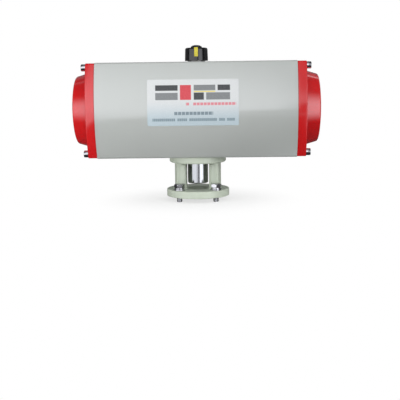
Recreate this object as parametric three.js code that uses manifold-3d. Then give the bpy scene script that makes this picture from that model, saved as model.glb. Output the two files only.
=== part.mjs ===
// Rack-and-pinion rotary pneumatic actuator, single acting (spring return), 90 degrees,
// on its cast mounting yoke with the drive coupling that turns a valve stem.
//
// Frame: millimetres, +Z up. The origin is the centre of the yoke's lower face, on the
// output axis. +Z is the output axis, X runs along the cylinder, -Y is the label side and
// +Y is the air-connection side. Rest is the spring-closed position: pistons together.
import * as THREE from "three";
import { mergeVertices } from "three/addons/utils/BufferGeometryUtils.js";
import Module from "manifold-3d";

const wasm = await Module();
wasm.setup();

// ---------- driving dimensions ----------
const AXIS_Z = 152.5; // cylinder axis above the yoke's lower face
const HALF_H = 80.8; // half height of the extruded section
const CAP_STEP = 0.8; // how far the body stands proud of the end caps all round
const CORNER = 4; // corner radius between flat and bulged side
const HALF_W = 76; // half width at the bulge
const SIDE_R = 186.8; // radius of the bulged side
const BODY_HALF = 170; // half length of the cylinder body
const BORE_R = 67.5;
const CAP_T = 15.5; // end cap flange thickness
const DOME_L = 24.5; // dome length beyond the flange
const DOME_R0 = 65.6; // dome radius at the flange
const DOME_R1 = 58.4; // dome radius at its outer rim
const CUP_R = 51; // inside radius of the dome
const CAP_SCREW_Y = 50;
const CAP_SCREW_Z = 72.8;

const MODULE_MM = 2.5; // gear module
const TEETH = 18;
const PITCH_R = (MODULE_MM * TEETH) / 2; // 22.5
const GEAR_HALF = 20; // half the gear's face width
const RACK_HALF = 17;
const DISC_IN = 56; // inner face of a piston disc at rest
const DISC_OUT = 84;
const PISTON_R = 67.0;
const RACK_END = 50; // how far a rack reaches past the output axis at rest
const RACK_BACK = 58;

const CAM_Z0 = 26.2,
  CAM_Z1 = 36; // stop cam
const STOP_X = 30,
  STOP_Z = 31,
  STOP_TIP = 14.3; // stop screws

const YOKE_TOP = AXIS_Z - HALF_H; // 71.7
const YOKE_UP_R = 50,
  YOKE_UP_T = 12;
const YOKE_LOW_R = 55.5,
  YOKE_LOW_T = 12.5;
const WALL_R = 41,
  WALL_IN = 26,
  WINDOW = 20, // window half width
  FLARE = 17; // the window widens towards the front and back from this depth
const FLUTE_R = 12.5,
  FLUTE_C = 44;
const FLANGE_BOLT_R = 45; // half of the lower bolt circle
const BASE_BOLT_R = 35; // half of the ISO 5211 F07 bolt circle
const COUPLING_R = 18,
  COUPLING_LOW = 22;
const SQUARE = 17; // drive square across flats

// facets round the cylinder axis, the output axis and the yoke; mating parts share them
const BORE_SEG = 36,
  SHAFT_SEG = 32,
  YOKE_SEG = 40;

// ---------- helpers ----------
const PI = Math.PI;

// A three.js geometry as a manifold solid, merged by position only.
function solid(geometry) {
  const g = geometry.index ? geometry.toNonIndexed() : geometry.clone();
  const bare = new THREE.BufferGeometry().setAttribute(
    "position",
    g.getAttribute("position"),
  );
  const m = mergeVertices(bare, 1e-4);
  return new wasm.Manifold(
    new wasm.Mesh({
      numProp: 3,
      vertProperties: m.attributes.position.array,
      triVerts: new Uint32Array(m.index.array),
    }),
  );
}

// A manifold solid as a flat-shaded three.js geometry.
function geometry(s) {
  const m = s.getMesh(),
    n = m.numProp;
  const v = new Float32Array(m.numVert * 3);
  for (let i = 0; i < m.numVert; i++)
    v.set(m.vertProperties.subarray(i * n, i * n + 3), i * 3);
  const g = new THREE.BufferGeometry();
  g.setAttribute("position", new THREE.BufferAttribute(v, 3));
  g.setIndex(new THREE.BufferAttribute(new Uint32Array(m.triVerts), 1));
  g.computeVertexNormals();
  return g;
}

const ALONG_Z = (g) => g.rotateX(PI / 2); // three.js cylinders and lathes stand on Y
const ALONG_X = (g) => g.rotateZ(-PI / 2);
const ALONG_Y = (g) => g;

// Cylinder from a to b along an axis, centred at the given cross position.
function cyl(axis, r, a, b, at = [0, 0], seg = 24, r2 = r) {
  const g = new THREE.CylinderGeometry(r2, r, b - a, seg);
  g.translate(0, (a + b) / 2, 0);
  if (axis === "z") ALONG_Z(g).translate(at[0], at[1], 0);
  else if (axis === "x") ALONG_X(g).translate(0, at[0], at[1]);
  else ALONG_Y(g).translate(at[0], 0, at[1]);
  return solid(g);
}

function box(x0, x1, y0, y1, z0, z1) {
  const g = new THREE.BoxGeometry(x1 - x0, y1 - y0, z1 - z0);
  g.translate((x0 + x1) / 2, (y0 + y1) / 2, (z0 + z1) / 2);
  return solid(g);
}

// Lathe about Z from [radius, z] points, given from low z to high z on the outside.
function lathe(points, seg = 48) {
  const g = new THREE.LatheGeometry(
    points.map(([r, z]) => new THREE.Vector2(r, z)),
    seg,
  );
  return solid(ALONG_Z(g));
}
function latheX(points, seg = 48) {
  const g = new THREE.LatheGeometry(
    points.map(([r, x]) => new THREE.Vector2(r, x)),
    seg,
  );
  return solid(ALONG_X(g));
}

// Closed rings: profiles run round their section and close on the first point.
const ring = (r0, r1, z0, z1, seg = 48) =>
  lathe(
    [
      [r0, z0],
      [r1, z0],
      [r1, z1],
      [r0, z1],
      [r0, z0],
    ],
    seg,
  );
const ringX = (r0, r1, x0, x1, seg = 48) =>
  latheX(
    [
      [r0, x0],
      [r1, x0],
      [r1, x1],
      [r0, x1],
      [r0, x0],
    ],
    seg,
  );
function torusProfile(rc, r, c, sides = 5) {
  const p = [];
  for (let i = 0; i <= sides; i++) {
    const a = (2 * PI * (i % sides)) / sides + PI / sides;
    p.push([rc + r * Math.cos(a), c + r * Math.sin(a)]);
  }
  return p;
}

// Prism of a closed outline along Z.
function prism(points, z0, z1) {
  const shape = new THREE.Shape(points.map(([x, y]) => new THREE.Vector2(x, y)));
  const g = new THREE.ExtrudeGeometry(shape, {
    depth: z1 - z0,
    bevelEnabled: false,
  });
  g.translate(0, 0, z0);
  return solid(g);
}
// Outline in (Y, Z), extruded along X.
const TO_X = new THREE.Matrix4().set(0, 0, 1, 0, 1, 0, 0, 0, 0, 1, 0, 0, 0, 0, 0, 1);
function prismX(points, x0, x1, bevel = 0) {
  const shape = new THREE.Shape(points.map(([y, z]) => new THREE.Vector2(y, z)));
  const g = new THREE.ExtrudeGeometry(shape, {
    depth: x1 - x0 - 2 * bevel,
    bevelEnabled: bevel > 0,
    bevelThickness: bevel,
    bevelSize: bevel,
    bevelOffset: -bevel,
    bevelSegments: 1,
  });
  g.translate(0, 0, x0 + bevel);
  g.applyMatrix4(TO_X);
  return solid(g);
}

const hex = (af, turn = 0) =>
  [...Array(6)].map((_, i) => {
    const a = (i * PI) / 3 + turn;
    return [(af / Math.sqrt(3)) * Math.cos(a), (af / Math.sqrt(3)) * Math.sin(a)];
  });
const square = (s) => [
  [-s / 2, -s / 2],
  [s / 2, -s / 2],
  [s / 2, s / 2],
  [-s / 2, s / 2],
];
const cut = (a, ...bs) => bs.reduce((s, b) => s.subtract(b), a);
const join = (a, ...bs) => bs.reduce((s, b) => s.add(b), a);

// ---------- the extruded section ----------
// Flat top and bottom, bulged sides, rounded corners.
function sectionOutline(inset = 0) {
  const sideC = HALF_W - SIDE_R; // centre of the +Y side's arc
  const r = SIDE_R - inset,
    h = HALF_H - inset;
  const cornerR = Math.max(CORNER - inset, 0.5);
  // corner circle touching the flat and the side arc
  const cz = h - cornerR;
  const cy = sideC + Math.sqrt((r - cornerR) ** 2 - cz * cz);
  const side = Math.atan2(cz, cy - sideC);
  const quarter = []; // from the side's middle up to the flat, on +Y
  for (let i = 0; i <= 5; i++) {
    const a = (side * i) / 5;
    quarter.push([sideC + r * Math.cos(a), r * Math.sin(a)]);
  }
  for (let i = 1; i <= 2; i++) {
    const a = side + ((PI / 2 - side) * i) / 2;
    quarter.push([cy + cornerR * Math.cos(a), cz + cornerR * Math.sin(a)]);
  }
  const right = [
    ...quarter.slice(1).reverse().map(([y, z]) => [y, -z]),
    ...quarter,
  ]; // from bottom to top on +Y
  const left = right.map(([y, z]) => [-y, -z]);
  return [...right, ...left];
}

// ---------- materials ----------
const mat = (color, roughness, metalness) =>
  new THREE.MeshStandardMaterial({ color, roughness, metalness });
const ANODISED = mat(0xc4c8c4, 0.45, 0.6);
const RED_COAT = mat(0xb81c1c, 0.25, 0.0);
const STEEL = mat(0xb8b9ba, 0.25, 1.0);
const DARK_STEEL = mat(0x6f7275, 0.35, 1.0);
const GREEN_COAT = mat(0xb9c4b2, 0.5, 0.0);
const BLACK_PLASTIC = mat(0x17191b, 0.35, 0.0);
const YELLOW_PLASTIC = mat(0xd7cb35, 0.45, 0.0);
const ACETAL = mat(0xe8e6dc, 0.5, 0.0);
const RUBBER = mat(0x1c1c1c, 0.7, 0.0);
const CAST_ALU = mat(0xa9adb0, 0.5, 0.8);
const BRONZE = mat(0xa87c3f, 0.4, 0.9);
const LABEL = mat(0xe3e7e8, 0.4, 0.0);
const SPRING = mat(0x7f8a92, 0.4, 0.9);

function mesh(name, geo, material, parent, pos = [0, 0, 0], rot = [0, 0, 0]) {
  const m = new THREE.Mesh(geo, material);
  m.name = name;
  m.position.set(...pos);
  m.rotation.set(...rot);
  parent.add(m);
  return m;
}

const root = new THREE.Group();
const actuator = new THREE.Group(); // its origin is the crossing of cylinder and output axes
actuator.position.z = AXIS_Z;
root.add(actuator);
const drive = new THREE.Group();
actuator.add(drive);
const yokeGroup = new THREE.Group();
root.add(yokeGroup);

// ---------- cylinder body ----------
const outline = sectionOutline();
let body = prismX(outline, -BODY_HALF, BODY_HALF);
body = body.subtract(cyl("x", BORE_R, -BODY_HALF - 1, BODY_HALF + 1, [0, 0], BORE_SEG));
for (const sx of [-1, 1])
  for (const sy of [-1, 1])
    for (const sz of [-1, 1]) {
      const a = sx < 0 ? -BODY_HALF - 1 : BODY_HALF - 24,
        b = sx < 0 ? -BODY_HALF + 24 : BODY_HALF + 1;
      body = body.subtract(cyl("x", 4.1, a, b, [sy * CAP_SCREW_Y, sz * CAP_SCREW_Z], 10));
    }
// output shaft bores: bush seat and seal land, top and bottom
body = cut(
  body,
  cyl("z", 20.7, 55, 73, [0, 0], SHAFT_SEG),
  cyl("z", 18.0, 70, 82, [0, 0], SHAFT_SEG),
  cyl("z", 25.0, 78, 82, [0, 0], SHAFT_SEG),
  cyl("z", 28.5, -82, -72, [0, 0], SHAFT_SEG),
  cyl("z", 26.1, -74, -55, [0, 0], SHAFT_SEG),
);
// accessory holes in the top face, 80 x 30
for (const x of [-40, 40])
  for (const y of [-15, 15]) body = body.subtract(cyl("z", 2.1, 71, 82, [x, y], 8));
// base holes for the yoke screws
for (let i = 0; i < 4; i++) {
  const a = PI / 4 + (i * PI) / 2;
  body = body.subtract(
    cyl("z", 4.1, -82, -67, [BASE_BOLT_R * Math.cos(a), BASE_BOLT_R * Math.sin(a)], 10),
  );
}
// flat air-connection pad with its ports and screw holes
body = body.subtract(box(-52, 52, 74.5, 80, -22, 22));
body = cut(
  body,
  cyl("y", 5.9, 60, 80, [12, 0], 14),
  cyl("y", 5.9, 68.9, 80, [-12, 0], 14),
);
for (const x of [-16, 16])
  for (const z of [-12, 12]) body = body.subtract(cyl("y", 2.1, 69, 80, [x, z], 8));
// gallery to the outer chambers, and its drilling from the second port
const GALLERY = [59, 50];
body = body.subtract(cyl("x", 3, -BODY_HALF - 1, BODY_HALF + 1, GALLERY, 8));
{
  const a = new THREE.Vector3(-12, 71.4, 2),
    b = new THREE.Vector3(-12, 61.5, 49);
  const g = new THREE.CylinderGeometry(1.4, 1.4, a.distanceTo(b), 6);
  g.applyQuaternion(
    new THREE.Quaternion().setFromUnitVectors(
      new THREE.Vector3(0, 1, 0),
      b.clone().sub(a).normalize(),
    ),
  );
  const mid = a.clone().add(b).multiplyScalar(0.5);
  g.translate(mid.x, mid.y, mid.z);
  body = body.subtract(solid(g));
}
// stop screw holes with spot faces
for (const x of [-STOP_X, STOP_X])
  body = cut(
    body,
    cyl("y", 5.2, 50, 80, [x, STOP_Z], 12),
    cyl("y", 11, 72, 80, [x, STOP_Z], 18),
  );
mesh("cylinder_body", geometry(body), ANODISED, actuator);

// ---------- end caps, built on the +X side ----------
// The outer rim is rounded and its face is slightly recessed.
const domeEnd = BODY_HALF + CAP_T + DOME_L;
let cap = prismX(sectionOutline(CAP_STEP), BODY_HALF - 10, BODY_HALF + CAP_T, 1.2);
cap = cap.intersect(box(BODY_HALF + 0.1, BODY_HALF + CAP_T + 1, -90, 90, -90, 90));
cap = cap.add(
  latheX(
    [
      [0, BODY_HALF + 5],
      [DOME_R0, BODY_HALF + 5],
      [DOME_R0, BODY_HALF + CAP_T],
      [DOME_R1 + 1.0, domeEnd - 3.4],
      [DOME_R1 - 0.4, domeEnd - 1],
      [DOME_R1 - 2.8, domeEnd],
      [45, domeEnd],
      [42.5, domeEnd - 2],
      [0, domeEnd - 2],
    ],
    BORE_SEG,
  ),
);
// spigot in the bore, with its seal groove
cap = cap.add(
  ringX(CUP_R, 67.0, BODY_HALF - 9, BODY_HALF + 3, BORE_SEG),
);
cap = cap.subtract(
  latheX(
    [
      [63.6, BODY_HALF - 6.4],
      [69, BODY_HALF - 6.4],
      [69, BODY_HALF - 2.2],
      [63.6, BODY_HALF - 2.2],
      [63.6, BODY_HALF - 6.4],
    ],
    BORE_SEG,
  ),
);
// the cup that holds the spring's outer end
cap = cap.subtract(cyl("x", CUP_R, BODY_HALF - 12, domeEnd - 7, [0, 0], BORE_SEG));
// air slot from the gallery into the cup
cap = cap.subtract(
  box(BODY_HALF - 1.5, BODY_HALF + 4, -3, 3, 0, 81).rotate([-((Math.atan2(59, 50) * 180) / PI), 0, 0]),
);
for (const sy of [-1, 1])
  for (const sz of [-1, 1])
    cap = cap.subtract(
      cyl("x", 4.5, BODY_HALF - 2, BODY_HALF + CAP_T + 2, [sy * CAP_SCREW_Y, sz * CAP_SCREW_Z], 10),
    );
const capGeo = geometry(cap);
// the left cap is the same casting mirrored, so its slot meets the same gallery
const mirror = (s) => s.mirror([1, 0, 0]);
mesh("end_cap_right", capGeo, RED_COAT, actuator);
mesh("end_cap_left", geometry(mirror(cap)), RED_COAT, actuator);

// seals between caps and body
const capSeal = geometry(latheX(torusProfile(65.45, 1.7, 0), BORE_SEG));
mesh("end_cap_seal_right", capSeal, RUBBER, actuator, [BODY_HALF - 4.3, 0, 0]);
mesh("end_cap_seal_left", capSeal, RUBBER, actuator, [-BODY_HALF + 4.3, 0, 0]);

// ---------- end cap screws, M8 socket head, axis along +X from the head's seat ----------
let capScrew = latheX(
  [
    [0, -34],
    [3.9, -34],
    [3.9, 0],
    [6, 0],
    [6, 7.4],
    [5.4, 8],
    [0, 8],
  ],
  14,
);
capScrew = capScrew.subtract(
  solid(
    ALONG_X(new THREE.CylinderGeometry(6 / Math.sqrt(3), 6 / Math.sqrt(3), 6, 6).translate(0, 7, 0)),
  ),
);
const capScrewGeo = geometry(capScrew);
const CORNERS = [
  ["1", -1, 1],
  ["2", 1, 1],
  ["3", 1, -1],
  ["4", -1, -1],
];
for (const [n, sy, sz] of CORNERS) {
  mesh("cap_screw_right_" + n, capScrewGeo, STEEL, actuator, [
    BODY_HALF + CAP_T + 0.1,
    sy * CAP_SCREW_Y,
    sz * CAP_SCREW_Z,
  ]);
  mesh(
    "cap_screw_left_" + n,
    capScrewGeo,
    STEEL,
    actuator,
    [-BODY_HALF - CAP_T - 0.1, sy * CAP_SCREW_Y, sz * CAP_SCREW_Z],
    [0, 0, PI],
  );
}

// ---------- pistons with integral racks ----------
// Built as the right piston: its rack runs along the -Y side, teeth towards the pinion.
const PITCH = PI * MODULE_MM;
function rackOutline() {
  const tip = -(PITCH_R - MODULE_MM),
    rootY = -(PITCH_R + 1.25 * MODULE_MM);
  const slack = 0.12; // half the backlash
  const half = (y) => PITCH / 4 - slack - (y + PITCH_R) * Math.tan(PI / 9);
  const n0 = Math.ceil((-RACK_END + 4) / PITCH),
    n1 = Math.floor((DISC_IN - 4) / PITCH);
  const top = [];
  for (let n = n0; n <= n1; n++) {
    const c = n * PITCH;
    top.push([c - half(rootY), rootY], [c - half(tip), tip], [c + half(tip), tip], [c + half(rootY), rootY]);
  }
  return [
    [-RACK_END, -RACK_BACK],
    [DISC_IN + 2, -RACK_BACK],
    [DISC_IN + 2, rootY],
    ...top.reverse(),
    [-RACK_END, rootY],
  ];
}
let piston = latheX(
  [
    [0, DISC_IN],
    [PISTON_R, DISC_IN],
    [PISTON_R, DISC_IN + 3],
    [64.8, DISC_IN + 3],
    [64.8, DISC_IN + 13],
    [PISTON_R, DISC_IN + 13],
    [PISTON_R, DISC_IN + 18],
    [63.2, DISC_IN + 18],
    [63.2, DISC_IN + 23],
    [PISTON_R, DISC_IN + 23],
    [PISTON_R - 1, DISC_OUT],
    [46, DISC_OUT],
    [46, DISC_OUT - 14],
    [0, DISC_OUT - 14],
  ],
  BORE_SEG,
);
piston = piston.add(prism(rackOutline(), -RACK_HALF, RACK_HALF));
// seat of the guide pad in the rack's back
piston = piston.subtract(box(-46, -18, -RACK_BACK - 1, -RACK_BACK + 2.5, -12, 12));
mesh("piston_right", geometry(piston), CAST_ALU, actuator);
mesh("piston_left", geometry(piston.rotate([0, 0, 180])), CAST_ALU, actuator);

let wear = geometry(ringX(65.0, 67.25, DISC_IN + 3.2, DISC_IN + 12.8, BORE_SEG));
mesh("wear_ring_right", wear, ACETAL, actuator);
mesh("wear_ring_left", wear, ACETAL, actuator, [0, 0, 0], [0, 0, PI]);
const pistonSeal = geometry(latheX(torusProfile(65.3, 2.0, DISC_IN + 20.5), BORE_SEG));
mesh("piston_seal_right", pistonSeal, RUBBER, actuator);
mesh("piston_seal_left", pistonSeal, RUBBER, actuator, [0, 0, 0], [0, 0, PI]);

// guide pad between the rack's back and the bore, with a relief groove
let pad = box(-45.8, -18.2, -70, -RACK_BACK + 2.3, -11.8, 11.8).intersect(
  cyl("x", 67.1, -60, 0, [0, 0], BORE_SEG),
);
pad = pad.subtract(box(-50, 0, -70, -62.5, -6.6, 6.6));
const padGeo = geometry(pad);
mesh("guide_pad_right", padGeo, ACETAL, actuator);
mesh("guide_pad_left", padGeo, ACETAL, actuator, [0, 0, 0], [0, 0, PI]);

// ---------- return springs ----------
class Coil extends THREE.Curve {
  constructor(r, length, turns) {
    super();
    Object.assign(this, { r, length, turns });
  }
  getPoint(t) {
    // the first and last turn lie nearly flat
    const end = 0.9 / this.turns;
    const ease =
      t < end ? 0.35 * t : t > 1 - end ? 1 - 0.35 * (1 - t) : 0.35 * end + ((t - end) * (1 - 0.7 * end)) / (1 - 2 * end);
    const a = 2 * PI * this.turns * t;
    return new THREE.Vector3(this.length * ease, this.r * Math.cos(a), this.r * Math.sin(a));
  }
}
function springSolid() {
  const wire = new THREE.Shape(
    [...Array(5)].map((_, i) => new THREE.Vector2(4 * Math.cos((i * PI) / 2.5), 4 * Math.sin((i * PI) / 2.5))),
  );
  const g = new THREE.ExtrudeGeometry(wire, {
    steps: 102,
    bevelEnabled: false,
    extrudePath: new Coil(38, 123.6, 8.5),
  });
  return solid(g);
}
const springGeo = geometry(springSolid());
const SPRING_X = DISC_OUT - 14 + 4.6;
mesh("return_spring_right", springGeo, SPRING, actuator, [SPRING_X, 0, 0]);
mesh("return_spring_left", springGeo, SPRING, actuator, [-SPRING_X, 0, 0], [0, 0, PI]);

// ---------- output shaft with integral pinion ----------
// Involute pinion whose tooth spaces face +Y and -Y at rest.
function pinionOutline() {
  const phi = PI / 9,
    rb = PITCH_R * Math.cos(phi),
    rt = PITCH_R + MODULE_MM,
    rr = PITCH_R - 1.25 * MODULE_MM;
  const inv = (r) => {
    if (r <= rb) return 0;
    const a = Math.acos(rb / r);
    return Math.tan(a) - a;
  };
  const slack = 0.12 / PITCH_R;
  const halfAt = (r) => PI / (2 * TEETH) - slack + inv(PITCH_R) - inv(r);
  const flank = [rr, rb, 23.0, rt];
  const pts = [];
  for (let i = 0; i < TEETH; i++) {
    const c = (2 * PI * i) / TEETH;
    for (const r of flank) pts.push([r, c - halfAt(r)]);
    for (const r of [...flank].reverse()) pts.push([r, c + halfAt(r)]);
  }
  return pts.map(([r, a]) => [r * Math.cos(a), r * Math.sin(a)]);
}
let shaft = lathe(
  [
    [0, -79.4],
    [25.5, -79.4],
    [25.5, -71.4],
    [23.4, -71.4],
    [23.4, -68],
    [25.5, -68],
    [25.5, -19.9],
    [10, -19.9],
    [10, 19.9],
    [22, 19.9],
    [22, 26],
    [19.8, 26],
    [19.8, 36.2],
    [17.5, 36.2],
    [17.5, 74.0],
    [15.2, 74.0],
    [15.2, 77.2],
    [17.4, 77.2],
    [17.4, 77.9],
    [15.0, 77.9],
    [15.0, 80.2],
    [14.0, 80.2],
    [14.0, 82.0],
    [15.0, 82.0],
    [15.0, 98],
    [0, 98],
  ],
  SHAFT_SEG,
);
shaft = shaft.add(prism(pinionOutline(), -GEAR_HALF, GEAR_HALF));
// two flats carry the stop cam
shaft = cut(shaft, box(16.5, 30, -30, 30, 26, 36.2), box(-30, -16.5, -30, 30, 26, 36.2));
// drive square, top slot and indicator screw hole
shaft = cut(
  shaft,
  prism(square(SQUARE + 0.4), -90, -54),
  box(-20, 20, -2.1, 2.1, 94, 99),
  cyl("z", 3.2, 84, 99, [0, 0], 10),
);
mesh("pinion_shaft", geometry(shaft), DARK_STEEL, drive);

const shaftSealLow = geometry(lathe(torusProfile(24.5, 1.05, -69.7), SHAFT_SEG));
mesh("shaft_seal_lower", shaftSealLow, RUBBER, drive);
const shaftSealUp = geometry(lathe(torusProfile(16.45, 1.15, 75.6), SHAFT_SEG));
mesh("shaft_seal_upper", shaftSealUp, RUBBER, drive);

// stop cam: two lobes, one for each stop screw
let cam = prism(
  [
    [-34, 14],
    [-34, -20],
    [-20, -34],
    [14, -34],
    [14, -10],
    [-10, 14],
  ],
  CAM_Z0,
  CAM_Z1,
);
cam = cam.add(cyl("z", 25, CAM_Z0, CAM_Z1, [0, 0], 24));
let camHole = cyl("z", 20.1, 20, 40, [0, 0], SHAFT_SEG);
camHole = cut(camHole, box(16.8, 30, -30, 30, 10, 50), box(-30, -16.8, -30, 30, 10, 50));
cam = cam.subtract(camHole);
mesh("stop_cam", geometry(cam), DARK_STEEL, drive);

// bushes pressed into the body
mesh("lower_bush", geometry(ring(25.9, 28.2, -79.4, -72.2, SHAFT_SEG)), ACETAL, actuator);
mesh("upper_bush", geometry(ring(17.9, 20.4, 67.6, 72.8, SHAFT_SEG)), ACETAL, actuator);

// thrust washer in the recess of the top face, and the retaining ring above it
mesh("thrust_washer", geometry(ring(15.4, 24, 78.15, 80.0, 24)), ACETAL, drive);
let clip = ring(14.25, 18.4, 80.3, 81.8, SHAFT_SEG);
clip = clip.subtract(box(-3, 3, 10, 25, 79, 84));
clip = join(
  clip,
  box(-7, -3, 14.6, 20.5, 80.3, 81.8),
  box(3, 7, 14.6, 20.5, 80.3, 81.8),
);
mesh("retaining_ring", geometry(clip), DARK_STEEL, drive);

// ---------- position indicator ----------
const CAP_Z = 105.5;
const indicatorProfile = (d) => [
  [0, 83.2],
  [20.15 + d, 83.2],
  [19.55 + d, 102.6 + d],
  [18.7 + d, 104.6 + d],
  [16.8 + d, CAP_Z + d],
  [0, CAP_Z + d],
];
let indicator = lathe(indicatorProfile(0), SHAFT_SEG);
indicator = cut(
  indicator,
  cyl("z", 16.2, 80, 99.2, [0, 0], 24),
  cyl("z", 3.3, 90, 110, [0, 0], 10),
);
// key in the shaft's slot
indicator = indicator.add(
  cut(box(-13.5, 13.5, -1.8, 1.8, 95, 99.6), cyl("z", 4, 90, 100, [0, 0], 10)),
);
const stripe = (d, w, z0) =>
  cut(
    lathe(indicatorProfile(0.3 + d), SHAFT_SEG),
    lathe(indicatorProfile(-1.2 - d), SHAFT_SEG),
  ).intersect(box(-w, w, -30, 30, z0, 120));
indicator = indicator.subtract(stripe(0.1, 3.85, 90.1));
mesh("indicator_cap", geometry(indicator), BLACK_PLASTIC, drive);
let pointer = stripe(0, 3.7, 90.3).subtract(cyl("z", 3.3, 90, 120, [0, 0], 10));
mesh("indicator_pointer", geometry(pointer), YELLOW_PLASTIC, drive);
// domed screw that holds the indicator
let knob = lathe(
  [
    [0, 85],
    [2.9, 85],
    [2.9, 106.1],
    [9.9, 106.1],
    [9.2, 107.8],
    [6.3, 109.6],
    [0, 110.3],
  ],
  20,
);
mesh("indicator_screw", geometry(knob), BLACK_PLASTIC, drive);

// ---------- travel stops ----------
// M10 screws from the +Y side, each with its lock nut
const stopScrew = (() => {
  let s = solid(
    new THREE.LatheGeometry(
      [
        [0, STOP_TIP],
        [4.8, STOP_TIP],
        [4.8, 92],
        [0, 92],
      ].map(([r, y]) => new THREE.Vector2(r, y)),
      12,
    ),
  );
  return s.subtract(
    solid(new THREE.CylinderGeometry(5 / Math.sqrt(3), 5 / Math.sqrt(3), 8, 6).translate(0, 92, 0)),
  );
})();
const nut = (() => {
  let s = solid(new THREE.CylinderGeometry(17 / Math.sqrt(3), 17 / Math.sqrt(3), 8, 6).translate(0, 76.2, 0));
  s = s.intersect(
    solid(
      new THREE.LatheGeometry(
        [
          [0, 72.2],
          [9.9, 72.2],
          [9.9, 79.2],
          [8.4, 80.2],
          [0, 80.2],
        ].map(([r, y]) => new THREE.Vector2(r, y)),
        18,
      ),
    ),
  );
  return s.subtract(cyl("y", 5.05, 60, 90, [0, 0], 12));
})();
const stopGeo = geometry(stopScrew),
  nutGeo = geometry(nut);
mesh("stop_screw_closed", stopGeo, STEEL, actuator, [-STOP_X, 0, STOP_Z]);
mesh("stop_screw_open", stopGeo, STEEL, actuator, [STOP_X, 0, STOP_Z]);
mesh("stop_nut_closed", nutGeo, STEEL, actuator, [-STOP_X, 0, STOP_Z]);
mesh("stop_nut_open", nutGeo, STEEL, actuator, [STOP_X, 0, STOP_Z]);

// ---------- data label on the bulged front ----------
const LABEL_X0 = -81,
  LABEL_X1 = 71.5,
  LABEL_Z0 = -24.8,
  LABEL_Z1 = 51.2;
{
  const pts = [],
    c = HALF_W - SIDE_R; // centre offset of the side arc
  const N = 10,
    a0 = Math.asin(LABEL_Z0 / SIDE_R),
    a1 = Math.asin(LABEL_Z1 / SIDE_R);
  for (let i = 0; i <= N; i++) {
    const a = a0 + ((a1 - a0) * i) / N;
    pts.push([-(c + (SIDE_R + 0.12) * Math.cos(a)), (SIDE_R + 0.12) * Math.sin(a)]);
  }
  for (let i = N; i >= 0; i--) {
    const a = a0 + ((a1 - a0) * i) / N;
    pts.push([-(c + (SIDE_R + 0.62) * Math.cos(a)), (SIDE_R + 0.62) * Math.sin(a)]);
  }
  mesh("data_label", geometry(prismX(pts, LABEL_X0, LABEL_X1)), LABEL, actuator);
}

// ---------- mounting yoke ----------
const yokeTop = YOKE_TOP - 0.1;
let yoke = lathe(
  [
    [0, YOKE_TOP - YOKE_UP_T],
    [YOKE_UP_R - 3.5, YOKE_TOP - YOKE_UP_T],
    [YOKE_UP_R, YOKE_TOP - YOKE_UP_T + 4],
    [YOKE_UP_R, yokeTop],
    [0, yokeTop],
  ],
  YOKE_SEG,
);
yoke = yoke.add(
  lathe(
    [
      [0, 0],
      [YOKE_LOW_R, 0],
      [YOKE_LOW_R, YOKE_LOW_T - 0.8],
      [YOKE_LOW_R - 0.8, YOKE_LOW_T],
      [0, YOKE_LOW_T],
    ],
    YOKE_SEG,
  ),
);
let wall = ring(WALL_IN, WALL_R, 5, YOKE_TOP - 5, YOKE_SEG);
const windowOutline = [
  [-WINDOW, -FLARE],
  [-WINDOW - 16, -FLARE - 23],
  [-WINDOW - 16, -60],
  [WINDOW + 16, -60],
  [WINDOW + 16, -FLARE - 23],
  [WINDOW, -FLARE],
  [WINDOW, FLARE],
  [WINDOW + 16, FLARE + 23],
  [WINDOW + 16, 60],
  [-WINDOW - 16, 60],
  [-WINDOW - 16, FLARE + 23],
  [-WINDOW, FLARE],
];
wall = wall.subtract(prism(windowOutline, YOKE_LOW_T, YOKE_TOP - YOKE_UP_T));
for (let i = 0; i < 4; i++) {
  const a = PI / 4 + (i * PI) / 2;
  wall = wall.subtract(
    cyl("z", FLUTE_R, YOKE_LOW_T, YOKE_TOP - YOKE_UP_T, [FLUTE_C * Math.cos(a), FLUTE_C * Math.sin(a)], 18),
  );
}
yoke = yoke.add(wall);
yoke = cut(
  yoke,
  cyl("z", 22, -1, YOKE_LOW_T + 1, [0, 0], 32),
  cyl("z", 20, YOKE_TOP - YOKE_UP_T - 1, YOKE_TOP + 1, [0, 0], 32),
);
for (let i = 0; i < 4; i++) {
  const a = PI / 4 + (i * PI) / 2,
    c = Math.cos(a),
    s = Math.sin(a);
  yoke = cut(
    yoke,
    cyl("z", 5.5, -1, YOKE_LOW_T + 1, [FLANGE_BOLT_R * c, FLANGE_BOLT_R * s], 10),
    cyl("z", 4.5, 60, 80, [BASE_BOLT_R * c, BASE_BOLT_R * s], 10),
    cyl("z", 7.2, 60, YOKE_TOP - YOKE_UP_T + 6, [BASE_BOLT_R * c, BASE_BOLT_R * s], 12),
  );
}
mesh("mounting_yoke", geometry(yoke), GREEN_COAT, yokeGroup);

// yoke screws, M8 low head, pointing up into the cylinder body
let yokeScrew = lathe(
  [
    [0, 0],
    [6.5, 0],
    [6.5, 5],
    [3.9, 5],
    [3.9, 22],
    [0, 22],
  ],
  12,
);
yokeScrew = yokeScrew.subtract(prism(hex(5), -1, 3));
const yokeScrewGeo = geometry(yokeScrew);

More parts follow.
